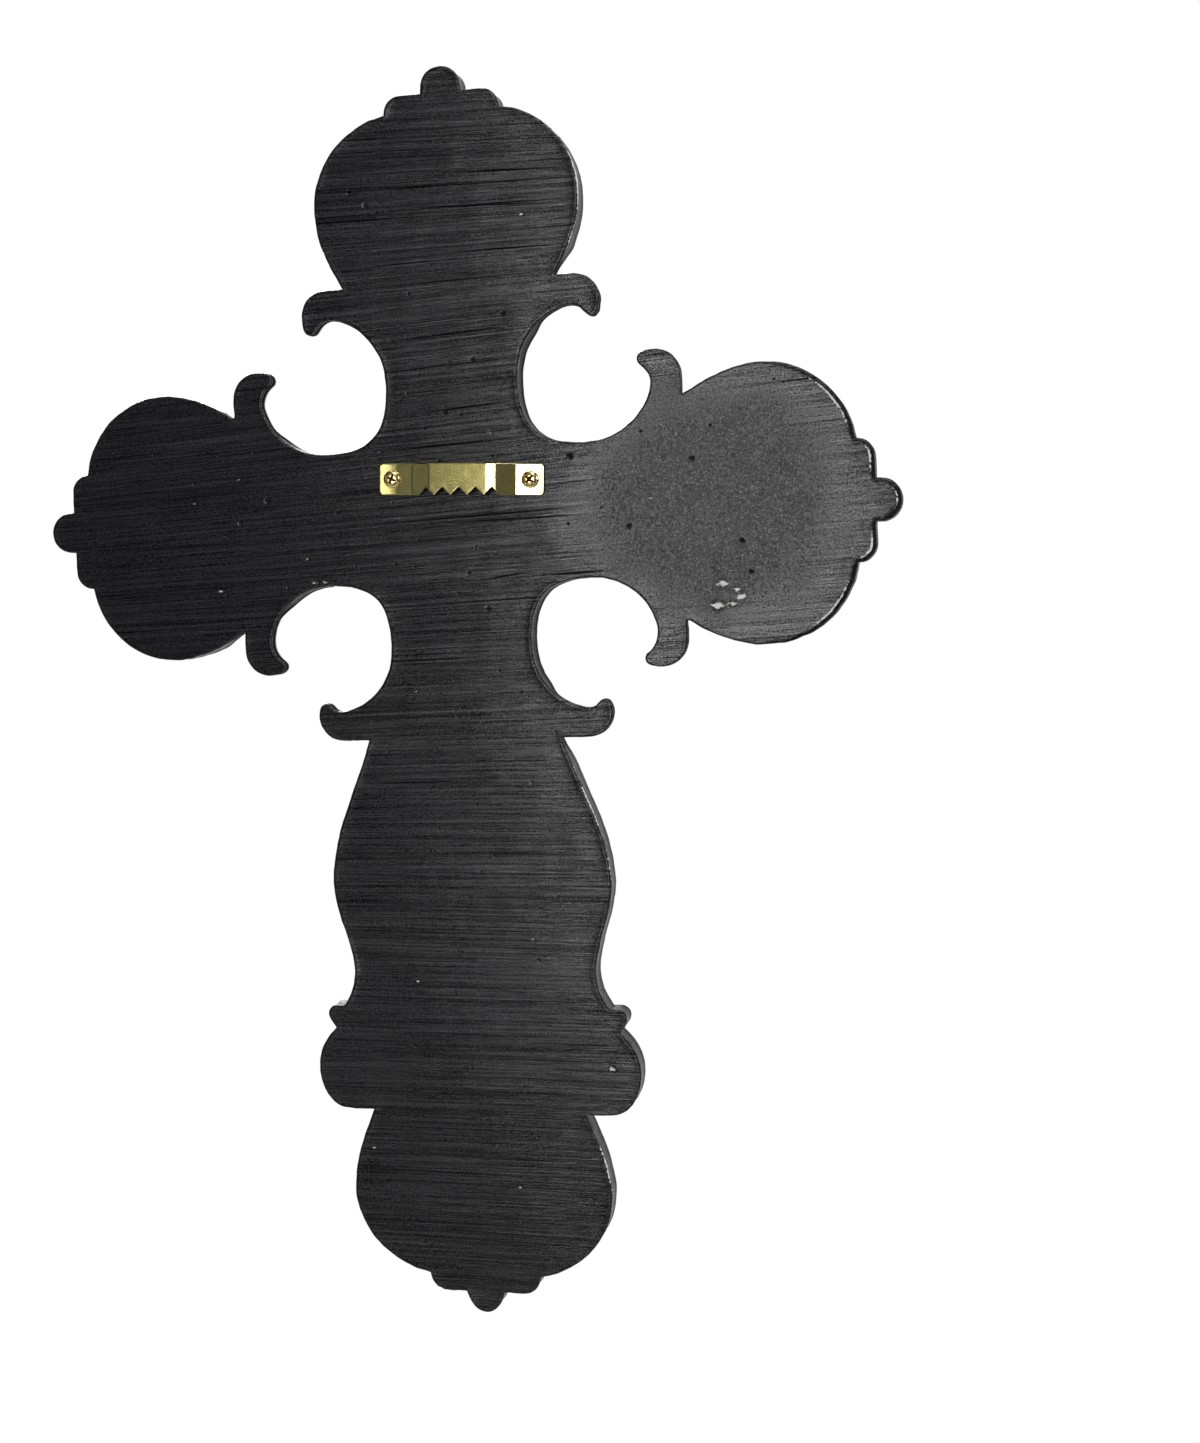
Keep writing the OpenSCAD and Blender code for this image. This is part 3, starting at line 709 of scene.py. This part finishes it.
# %% Flat outline of the strip
STRIP_L, STRIP_W, STRIP_T = 42.0, 7.7, 0.7
CORNER_R = 1.0
TEETH_PITCH, TEETH_DEPTH, NOTCHES, TOOTH_TIP = 4.25, 1.85, 5, 0.2
NOTCH_FLOOR = 0.24  # width of a notch at its deepest
HOLE_R = 1.35
STRIP_ROWS, STRIP_PITCH, STRIP_STEP = (0.05, 0.12, 0.25), 0.42, 0.3
RISE = 2.3  # height of the bridge's inner face over the back
SLOPES = [  # from, to, slope: the feet stay a little up at their inner ends
    (-22.0, -14.0, 0.06), (-14.0, -9.4, 0.357), (-9.4, -7.2, 0.1), (-7.2, 7.9, -0.034),
    (7.9, 12.2, -0.366), (12.2, 22.0, -0.05),
]
SCREW_AT = 17.65
STRIP_SKEW = math.radians(2.6)
STRIP_MIDDLE = STRIP_W / 2 - TEETH_DEPTH  # height of the strip's middle over the nail


def arc(middle, radius, first, last, steps):
    """Points of an arc from angle first to last, in degrees."""
    a = np.radians(np.linspace(first, last, steps))
    return np.array(middle) + radius * np.stack([np.cos(a), np.sin(a)], 1)


def sprinkled(line, step):
    """The closed line with points added along its straight pieces, about step apart."""
    ahead = np.roll(line, -1, 0) - line
    pieces = np.maximum(1, np.round(np.linalg.norm(ahead, axis=1) / step)).astype(int)
    k = np.repeat(np.arange(len(line)), pieces)
    first = np.cumsum(pieces) - pieces
    return line[k] + ahead[k] * ((np.arange(len(k)) - first[k]) / pieces[k])[:, None]


x, z = STRIP_L / 2 - CORNER_R, STRIP_W / 2 - CORNER_R
half_notch = (TEETH_PITCH - TOOTH_TIP) / 2
notch_x = (np.arange(NOTCHES) - (NOTCHES - 1) / 2)[:, None] * TEETH_PITCH
teeth = np.stack([
    notch_x + [-half_notch, -NOTCH_FLOOR / 2, NOTCH_FLOOR / 2, half_notch],
    np.tile([-STRIP_W / 2, TEETH_DEPTH - STRIP_W / 2, TEETH_DEPTH - STRIP_W / 2,
             -STRIP_W / 2], (NOTCHES, 1)),
], -1).reshape(-1, 2)
strip = sprinkled(np.concatenate([
    teeth,
    arc((x, -z), CORNER_R, -90, 0, 9), arc((x, z), CORNER_R, 0, 90, 9),
    arc((-x, z), CORNER_R, 90, 180, 9), arc((-x, -z), CORNER_R, 180, 270, 9),
]), STRIP_STEP)
holes = [arc((side * SCREW_AT, 0), HOLE_R, 360, 0, 41)[:-1] for side in (-1, 1)]
loops = [(strip, 1), (holes[0], -1), (holes[1], -1)]
lines = [line for line, _ in loops]
print("strip outline:", len(strip), "points")


# %% Bent strip
EDGE_R = 0.14  # the stamped edge is a little rounded
DENT = 0.006  # depth of the dents that stamping leaves
END_LIFT = (0.1, 0.04)  # how far the foot towards +X, and the other, springs up at its end


def lift(x, bend=0.4):
    """Height of the strip's inner face: the running sum of the slopes, each of which
    comes and goes over twice the bend. Its highest point is RISE over the back."""
    table = np.linspace(-STRIP_L / 2, STRIP_L / 2, 4000)
    slope = np.zeros(len(table))
    for start, end, rise in SLOPES:
        slope += rise * (
            ease((table - start) / (2 * bend) + 0.5) - ease((table - end) / (2 * bend) + 0.5)
        )
    height = np.concatenate([[0], np.cumsum((slope[1:] + slope[:-1]) / 2 * np.diff(table))])
    return np.maximum(np.interp(x, table, height - height.max() + RISE), 0)


def curl_up(x):
    """The ends of the feet spring off the back a little where the screws pull them in."""
    out = np.clip((np.abs(x) - SCREW_AT) / (STRIP_L / 2 - SCREW_AT), 0, 1)
    return np.where(x > 0, *END_LIFT) * out**1.5


strip_co, strip_tri = triangles(face_points(loops, STRIP_ROWS, STRIP_PITCH), lines)
strip_d = np.maximum(signed_distance(strip_co, lines), 0)
soft = rounded_edge(strip_d, EDGE_R * 1.2, EDGE_R)
dents = DENT * ripple(strip_co, 4, seed=71)
base = lift(strip_co[:, 0]) + curl_up(strip_co[:, 0])
outer = base + STRIP_T - soft - np.abs(dents) * ease(strip_d / 0.4)
inner = base + soft
n_strip = len(strip_co)
at = np.cumsum([0] + [len(line) for line in lines])
strip_points = np.concatenate([flat_side(strip_co, outer), flat_side(strip_co, inner)])
strip_points[:, 1] += BACK_Y
strip_points[:, 2] += STRIP_MIDDLE
turn = np.array(Matrix.Rotation(-STRIP_SKEW, 3, "Y"))
strip_points = strip_points @ turn.T
sides = [joined(0, n_strip, len(line)) + a for line, a in zip(lines, at[:-1])]
strip_faces = facing_out(
    strip_points, np.concatenate([strip_tri, strip_tri[:, ::-1] + n_strip, *sides])
)
hanger = make_piece(
    "brass_hanger", strip_points, strip_faces, "sawtooth_hanger", "hanger_brass",
)
print("hanger:", len(strip_points), "points,", len(strip_faces), "triangles")

# %% [markdown]
# ## The screws
#
# A small pan head with a cross recess, turned from brass wire. The head and the shank are
# one profile swept round the axis. The recess is pressed in: near the axis the top is
# pushed down wherever a point lies within one of the two blades, and its walls slope.

# %% Screw by profile
HEAD_R, HEAD_H, SHANK_R, SHANK_L = 2.12, 1.28, 1.1, 5.4
RECESS_D, BLADE_W, BLADE_L = 0.75, 0.24, 1.3
SIDES = 96


def screw_profile():
    """(radius, height over the seat) from the middle of the head to the point."""
    dome_part = np.linspace(0.04, 1, 34)
    top = np.stack([
        HEAD_R * dome_part, HEAD_H - 0.6 * dome_part**4 - 0.12 * dome_part**16
    ], 1)
    under = [(HEAD_R, 0.3), (HEAD_R - 0.06, 0.06), (HEAD_R - 0.2, 0), (SHANK_R, 0)]
    shank = [(SHANK_R, -1), (SHANK_R, -SHANK_L / 2), (SHANK_R, 2.2 - SHANK_L)]
    tip = [(SHANK_R * 0.6, 1 - SHANK_L), (0.22, -SHANK_L), (0.05, -SHANK_L)]
    return np.concatenate([top, under, shank, tip])


def screw_mesh(side, twist, lean):
    """Points, triangles and recess values of the screw on one side, its recess turned by
    twist degrees and its head tilted by lean degrees about the upright axis."""
    r, h = screw_profile().T
    angle = np.arange(SIDES) * 2 * math.pi / SIDES
    x = r[:, None] * np.cos(angle)
    z = r[:, None] * np.sin(angle)
    y = np.repeat(h[:, None], SIDES, 1)
    t = math.radians(twist)
    u, v = np.abs(x * math.cos(t) + z * math.sin(t)), np.abs(z * math.cos(t) - x * math.sin(t))
    across, along = np.minimum(u, v), np.maximum(u, v)
    blade = ease((BLADE_W - across) / 0.16 + 0.5) * ease((BLADE_L - along) / 0.3 + 0.5)
    pressed = blade * (y > 0.4)
    y = y - RECESS_D * pressed * (1 - 0.45 * along / BLADE_L)
    turned = np.array(Matrix.Rotation(math.radians(lean), 3, "Z"))
    co = np.stack([x, y, z], -1).reshape(-1, 3)
    head = co[:, 1] > 0.03
    co[head] = co[head] @ turned.T
    ends = np.array([[0, HEAD_H - RECESS_D, 0], [0, -SHANK_L, 0]])
    rings = len(r)
    faces = [joined(k * SIDES, (k + 1) * SIDES, SIDES) for k in range(rings - 1)]
    i = np.arange(SIDES)
    j = (i + 1) % SIDES
    last = (rings - 1) * SIDES
    middle = rings * SIDES
    faces.append(np.stack([np.full(SIDES, middle), j, i], 1))
    faces.append(np.stack([np.full(SIDES, middle + 1), last + i, last + j], 1))
    co = np.concatenate([co, ends])
    seat = float(lift(np.array([side * (SCREW_AT - 1.3)]))[0])  # the foot's higher side
    co += [side * SCREW_AT, BACK_Y + STRIP_T + seat, STRIP_MIDDLE]
    co = co @ turn.T
    # how much painted shade the recess gets at each point
    values = np.concatenate([pressed.ravel() ** 2, [1, 0]])
    return co, facing_out(co, np.concatenate(faces)), values


for name, side, twist, lean in (("left_screw", 1, 20, 2.0), ("right_screw", -1, 38, -1.0)):
    co, faces, values = screw_mesh(side, twist, lean)
    make_piece("brass_" + name, co, faces, name, "screw_brass", recess=values)
    print(name, len(faces), "triangles")

# %% [markdown]
# ## Finishes
#
# Every finish reads Object coordinates, which here are the part's own, so a pattern stays
# where it is when the cross is turned. One helper adds a node with its settings and
# links, one makes a grain of a stated size in millimetres, and one turns a written colour
# into the light it stands for.

# %% Finish tools
def linear(colour):
    """Linear red, green, blue and alpha of a #rrggbb colour. A channel c becomes
    ((c + 0.055) / 1.055)^2.4 above 0.04045, and c / 12.92 below."""
    c = np.array([int(colour[i : i + 2], 16) for i in (1, 3, 5)]) / 255
    light = np.where(c > 0.04045, ((c + 0.055) / 1.055) ** 2.4, c / 12.92)
    return (*light.tolist(), 1.0)


def add(tree, kind, sockets=None, out=None, **settings):
    """Add a node and return its output, the first live one unless out names another.
    sockets maps an input's name or number to a value or to another node's output;
    settings are the node's own properties."""
    n = tree.nodes.new("ShaderNode" + kind)
    for key, value in settings.items():
        setattr(n, key, value)
    for key, value in (sockets or {}).items():
        if isinstance(value, bpy.types.NodeSocket):
            tree.links.new(value, n.inputs[key])
        else:
            n.inputs[key].default_value = value
    return n.outputs[out] if out else next((o for o in n.outputs if o.enabled), None)


def step(low, high, start=0.0, end=1.0):
    """Sockets of a Map Range from low..high to start..end, without its value."""
    return {"From Min": low, "From Max": high, "To Min": start, "To Max": end}


def grain_of(tree, where, period, detail=2.0, roughness=0.5):
    """Noise whose coarsest grain is about period millimetres, or (x, y, z) of them."""
    scale = tuple(1 / (np.broadcast_to(period, 3) * MM))
    scaled = add(tree, "Mapping", {"Vector": where, "Scale": scale})
    return add(
        tree, "TexNoise",
        {"Vector": scaled, "Scale": 1.0, "Detail": detail, "Roughness": roughness},
    )


def finish_named(name):
    """An empty material and its node tree."""
    material = bpy.data.materials.new(name)
    material.use_nodes = True
    material.node_tree.nodes.clear()
    return material, material.node_tree


# %% [markdown]
# ### Satin black over sanded resin
#
# What the eye gets is a charcoal black with a soft sheen, crossed by a great many fine,
# nearly level scratches. The belt ran level over the lower shaft and a few degrees off
# level over the top, so the scratches follow the height z plus a slope times x, and the
# slope grows with z. Three sizes of scratch are drawn: hairlines a third of a millimetre
# apart, streaks about a millimetre apart, and dark gouges. The longest gouges are placed
# one by one, each a thin long ellipse. Where the belt never reached, the paint has an
# even grain instead.
#
# Where paint has come off, the white filler under it shows, with a ragged border. Painted
# shade makes the pits, the wall and the openings near black.

# %% Painted resin
GOUGES = [  # from (across, up) to (across, up), width
    (16.7, 36.7, -16.0, 38.6, 0.5), (10.2, 18.8, -14.1, 20.4, 0.45),
    (20.7, 9.7, -15.0, 11.6, 0.5), (21.5, -8.0, -32.2, -5.8, 0.55),
    (4.6, -8.5, -31.6, -7.7, 0.45), (-20.3, -22.1, -41.6, -21.4, 0.6),
    (-3.8, -22.8, -16.6, -21.2, 0.45), (2.2, 76.2, -27.3, 75.3, 0.5),
    (15.0, 68.8, -28.0, 67.0, 0.45), (2.5, 57.1, -25.7, 57.2, 0.45),
]


def painted_resin():
    """Black paint over sanded resin, with chips down to white filler, and painted shade in the
    pits, on the wall and in the openings.
    """
    material, t = finish_named("satin_black_paint_on_resin")
    place = add(t, "TexCoord", out="Object")
    x = add(t, "SeparateXYZ", {"Vector": place}, "X")
    z = x.node.outputs["Z"]
    slope = add(t, "MapRange", {"Value": z, **step(-0.1, 0.0, -0.01, 0.056)})
    eased = add(t, "MapRange", {"Value": z, **step(0.035, 0.08, 0.0, -0.09)})
    slope = add(t, "Math", {0: slope, 1: eased}, operation="ADD")
    level = add(t, "Math", {0: x, 1: slope, 2: z}, operation="MULTIPLY_ADD")
    wander = grain_of(t, place, 60, 1)
    level = add(t, "Math", {0: wander, 1: 0.0006, 2: level}, operation="MULTIPLY_ADD")
    # noise is weakest on the planes of its own lattice, so the scratches are drawn half a
    # millimetre off one
    run = add(t, "CombineXYZ", {"X": x, "Y": 0.5 * MM, "Z": level})

    cast = add(t, "Attribute", out="Fac", attribute_name="cast")
    bare = add(t, "Attribute", out="Fac", attribute_name="bare")
    pitted = add(t, "Attribute", out="Fac", attribute_name="pitted")
    sanded = add(t, "Math", {0: 1.0, 1: cast}, operation="SUBTRACT")
    hair = grain_of(t, run, (40, 1, 0.3), 3, 0.85)
    streak = grain_of(t, run, (120, 1, 0.9), 2, 0.6)
    grain = grain_of(t, place, 0.45, 3, 0.8)
    cloud = grain_of(t, place, 24, 3, 0.55)
    scored = grain_of(t, run, (70, 1, 0.6), 1, 0.4)
    scored = add(t, "MapRange", {"Value": scored, **step(0.69, 0.8)})
    for x0, z0, x1, z1, width in GOUGES:
        half = math.hypot(x1 - x0, z1 - z0) / 2 * MM
        near = add(t, "Mapping", {
            "Vector": place, "Location": ((x0 + x1) / 2 * MM, 0, (z0 + z1) / 2 * MM),
            "Rotation": (0, -math.atan2(z1 - z0, x1 - x0), 0),
            "Scale": (half, 1, width / 2 * MM),
        }, vector_type="TEXTURE")
        far = add(t, "VectorMath", {0: near}, "Value", operation="LENGTH")
        line = add(t, "MapRange", {"Value": far, **step(0.4, 1.1, 1, 0)})
        scored = add(t, "Math", {0: scored, 1: line}, operation="MAXIMUM")
    scored = add(t, "Math", {0: scored, 1: sanded}, operation="MULTIPLY")

    # how far each point is chipped, with a ragged border
    ragged = grain_of(t, place, (1.1, 1, 0.7), 3, 0.7)
    ragged = add(t, "Math", {0: ragged, 1: 1.5, 2: -0.75}, operation="MULTIPLY_ADD")
    chipped = add(t, "Math", {0: bare, 1: ragged}, operation="ADD")
    chipped = add(t, "MapRange", {"Value": chipped, **step(0.44, 0.56)})

    # colour
    mottled = add(t, "Mix", {0: 0.5, 2: hair, 3: grain})
    smooth = add(t, "MapRange", {"Value": grain, **step(0.2, 0.8, 0.37, 0.63)})
    lined = add(t, "Mix", {0: cast, 2: mottled, 3: smooth})
    lined = add(t, "MapRange", {"Value": lined, **step(0.43, 0.57)})
    black = linear("#040405")
    for factor, tone in (
        (lined, linear("#28282b")),
        (add(t, "MapRange", {"Value": cloud, **step(0.35, 0.75, 0, 0.2)}), linear("#2a2a2c")),
        (scored, linear("#050506")),
        # painted shade: near black where the value pitted says
        (pitted, linear("#030303")),
        (chipped, linear("#d8d6ce")),
    ):
        black = add(t, "Mix", {0: factor, 6: black, 7: tone}, data_type="RGBA")

    # sheen and relief: a scratch throws the light aside, so it mirrors less
    glint = add(t, "MapRange", {"Value": lined, **step(0, 1, 0.08, 0.62)})
    glint = add(t, "Math", {0: scored, 1: -0.4, 2: glint}, operation="MULTIPLY_ADD")
    # where shade is painted, the sheen is taken away too
    unshaded = add(t, "Math", {0: 1.0, 1: pitted}, operation="SUBTRACT")
    glint = add(t, "Math", {0: glint, 1: unshaded}, operation="MULTIPLY")
    course = add(t, "Mix", {0: cast, 2: streak, 3: 0.62})
    rough = add(t, "MapRange", {"Value": course, **step(0.3, 0.7, 0.14, 0.26)})
    rough = add(t, "Math", {0: grain, 1: 0.06, 2: rough}, operation="MULTIPLY_ADD")
    rough = add(t, "Math", {0: chipped, 1: 0.3, 2: rough}, operation="MULTIPLY_ADD")
    height = add(t, "Math", {0: hair, 1: 0.8}, operation="MULTIPLY")
    height = add(t, "Math", {0: streak, 1: 0.5, 2: height}, operation="MULTIPLY_ADD")
    height = add(t, "Math", {0: height, 1: sanded}, operation="MULTIPLY")
    skin = add(t, "Math", {0: grain, 1: cast}, operation="MULTIPLY")
    for value, weight in ((skin, 0.8), (scored, -0.8), (chipped, -1.2)):
        height = add(t, "Math", {0: value, 1: weight, 2: height}, operation="MULTIPLY_ADD")
    bump = add(t, "Bump", {"Height": height, "Strength": 1.0, "Distance": 0.0001})
    shader = add(t, "BsdfPrincipled", {
        "Base Color": black, "Roughness": rough, "Normal": bump,
        "IOR": 1.45, "Specular IOR Level": glint,
    })
    add(t, "OutputMaterial", {"Surface": shader})
    return material


casting.data.materials.append(painted_resin())
print("painted resin:", len(casting.data.materials[0].node_tree.nodes), "nodes")

# %% [markdown]
# ### Stamped brass
#
# Thin rolled sheet, bright but not polished: it mirrors softly, and fine lines run along
# the strip from the rolls. A film of lacquer gives it a slightly green gold. The screws
# are a redder gold, with painted shade, a dark brown, in the recess.

# %% Brass
def brass(name, colour, shade, roughness, rolled, recess_shade="#4a3010"):
    """Brass with stains of a darker shade, rolling lines, and painted shade in a dark brown
    where the value named recess says."""
    material, t = finish_named(name)
    place = add(t, "TexCoord", out="Object")
    lines = grain_of(t, place, rolled, 2, 0.6)
    stain = grain_of(t, place, 2.2, 3, 0.6)
    recess = add(t, "Attribute", out="Fac", attribute_name="recess")
    spots = add(t, "MapRange", {"Value": stain, **step(0.38, 0.68, 0, 0.4)})
    hue = add(t, "Mix", {0: spots, 6: linear(colour), 7: linear(shade)}, data_type="RGBA")
    hue = add(t, "Mix", {0: recess, 6: hue, 7: linear(recess_shade)}, data_type="RGBA")
    rough = add(t, "Math", {0: stain, 1: 0.12, 2: roughness}, operation="MULTIPLY_ADD")
    bump = add(t, "Bump", {"Height": lines, "Strength": 0.4, "Distance": 0.00002})
    shader = add(t, "BsdfPrincipled", {
        "Base Color": hue, "Metallic": 1.0, "Roughness": rough, "Normal": bump,
    })
    add(t, "OutputMaterial", {"Surface": shader})
    return material


hanger.data.materials.append(brass("rolled_brass", "#c4ba78", "#94884a", 0.13, (9, 2, 0.3)))
turned_brass = brass("turned_brass", "#e6cf96", "#c9a050", 0.2, 0.5)
for name in ("brass_left_screw", "brass_right_screw"):
    bpy.data.objects[name].data.materials.append(turned_brass)

# %% [markdown]
# The part's own nodes are hidden behind these pieces, but they carry a finish too, so
# that they read right wherever they are shown.

# %% Finish of the part's nodes
plain_finish = {
    "cross": casting.data.materials[0],
    "sawtooth_hanger": hanger.data.materials[0],
    "left_screw": turned_brass,
    "right_screw": turned_brass,
}
for node, material in plain_finish.items():
    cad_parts[node].data.materials.clear()
    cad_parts[node].data.materials.append(material)

# %% [markdown]
# ## Floor, light and camera
#
# The cross hangs in front of a pale sweep: a floor well below it that curves up into a
# backdrop. The camera sees the sweep as plain white, and so do mirrors and glass; for all
# other light it is a pale matt sheet that takes the cross's shadow. Its floor ends 0.3 m
# out from the cross's back, so that the black back doesn't mirror it.
#
# The key lamp stands behind the camera. Its reflection is the broad sheen between the
# crossing and the arm towards -X, and leaves the other arm nearly black. A larger lamp
# high up gives most of the light, from where nothing flat mirrors it, and a weak one low
# down lifts the foot. Two very dim cards are there for the slopes of the brass to mirror.
# The others light the front and the walls. The sky is an even dim grey, but the camera
# sees it as white too.

# %% Sweep
FLOOR_Z, FLOOR_END, BACKDROP_Y, BACKDROP_TOP = -0.62, 0.3, -1.1, 2.2
SWEEP_R, SWEEP_HALF = 0.4, 2.4  # radius of the curve between them, and half the width
a = np.linspace(0, math.pi / 2, 24)
curve_y, curve_z = SWEEP_R * (1 - np.sin(a)), SWEEP_R * (1 - np.cos(a))
sweep_y = np.concatenate([[FLOOR_END], BACKDROP_Y + curve_y, [BACKDROP_Y]])
sweep_z = np.concatenate([[FLOOR_Z], FLOOR_Z + curve_z, [BACKDROP_TOP]])
count = len(sweep_y)
co = np.concatenate([
    np.stack([np.full(count, side * SWEEP_HALF), sweep_y, sweep_z], 1) for side in (-1, 1)
])
i = np.arange(count - 1)
quads = np.stack([i, i + 1, i + 1 + count, i + count], 1)
sheet = bpy.data.meshes.new("sweep")
sheet.from_pydata(co, [], quads)
sheet.shade_smooth()
sweep = bpy.data.objects.new("sweep", sheet)
bpy.context.scene.collection.objects.link(sweep)
paper, t = finish_named("pale_paper")
matt = add(t, "BsdfDiffuse", {"Color": linear("#e8e8e6")})
white = add(t, "Emission", {"Strength": 1.0})
seen = add(t, "LightPath", out="Is Camera Ray")
for kind in ("Is Glossy Ray", "Is Transmission Ray"):
    seen = add(t, "Math", {0: seen, 1: add(t, "LightPath", out=kind)}, operation="MAXIMUM")
both = add(t, "MixShader", {0: seen, 1: matt, 2: white})
add(t, "OutputMaterial", {"Surface": both})
sheet.materials.append(paper)

# %% Lamps and sky
MIDDLE = Vector((CROSSING[0] * MM, BACK_Y * MM, -0.03))  # what the lamps are aimed at
LAMPS = {  # place and size in metres, power in watts
    "key": ((0.08, 1.0, 0.05), 0.3, 4.1), "high": ((-0.35, 0.8, 1.2), 0.6, 9.8),
    "low": ((0.26, 0.9, -0.5), 0.5, 0.35), "left_card": ((0.8, 0.62, 0.05), 0.5, 0.11),
    "right_card": ((-0.47, 0.88, 0.05), 0.3, 0.022), "top": ((0.3, -0.2, 1.1), 0.7, 5),
    "side": ((-1.0, 0.1, 0.25), 0.5, 5), "front": ((0.5, -0.95, 0.5), 0.6, 9),
}
for name, (place, size, power) in LAMPS.items():
    light = bpy.data.lights.new(name, "AREA")
    light.shape, light.size, light.energy = "DISK", size, power
    lamp = bpy.data.objects.new(name, light)
    bpy.context.scene.collection.objects.link(lamp)
    lamp.location = place
    lamp.rotation_euler = (MIDDLE - Vector(place)).to_track_quat("-Z", "Y").to_euler()
sky = bpy.data.worlds.new("sky")
bpy.context.scene.world = sky
sky.use_nodes = True
sky.node_tree.nodes.clear()
dim = add(sky.node_tree, "Background", {"Color": linear("#b4b6b8"), "Strength": 0.12})
white = add(sky.node_tree, "Background", {"Color": linear("#ffffff"), "Strength": 1.0})
seen = add(sky.node_tree, "LightPath", out="Is Camera Ray")
both = add(sky.node_tree, "MixShader", {0: seen, 1: dim, 2: white})
add(sky.node_tree, "OutputWorld", {"Surface": both})

# %% Camera
AIM = Vector((-32.9, -3.0, -58.3)) * MM  # where the camera's axis meets the back
DISTANCE = 440.6 * MM
AROUND, ABOVE, ROLL = math.radians(12.16), math.radians(4.25), math.radians(1.885)
LENS, FILM = 44.9, 36.0  # focal length and film height, in millimetres
away = Vector((
    -math.sin(AROUND) * math.cos(ABOVE), math.cos(AROUND) * math.cos(ABOVE), math.sin(ABOVE)
))
camera = bpy.data.objects.new("camera", bpy.data.cameras.new("camera"))
camera.data.sensor_fit = "VERTICAL"
camera.data.sensor_height, camera.data.lens = FILM, LENS
camera.data.clip_start = 0.01
bpy.context.scene.collection.objects.link(camera)
aimed = (-away).to_track_quat("-Z", "Y").to_matrix() @ Matrix.Rotation(-ROLL, 3, "Z")
camera.matrix_world = Matrix.Translation(AIM + away * DISTANCE) @ aimed.to_4x4()
bpy.context.scene.camera = camera

bpy.context.scene.view_settings.view_transform = "Standard"
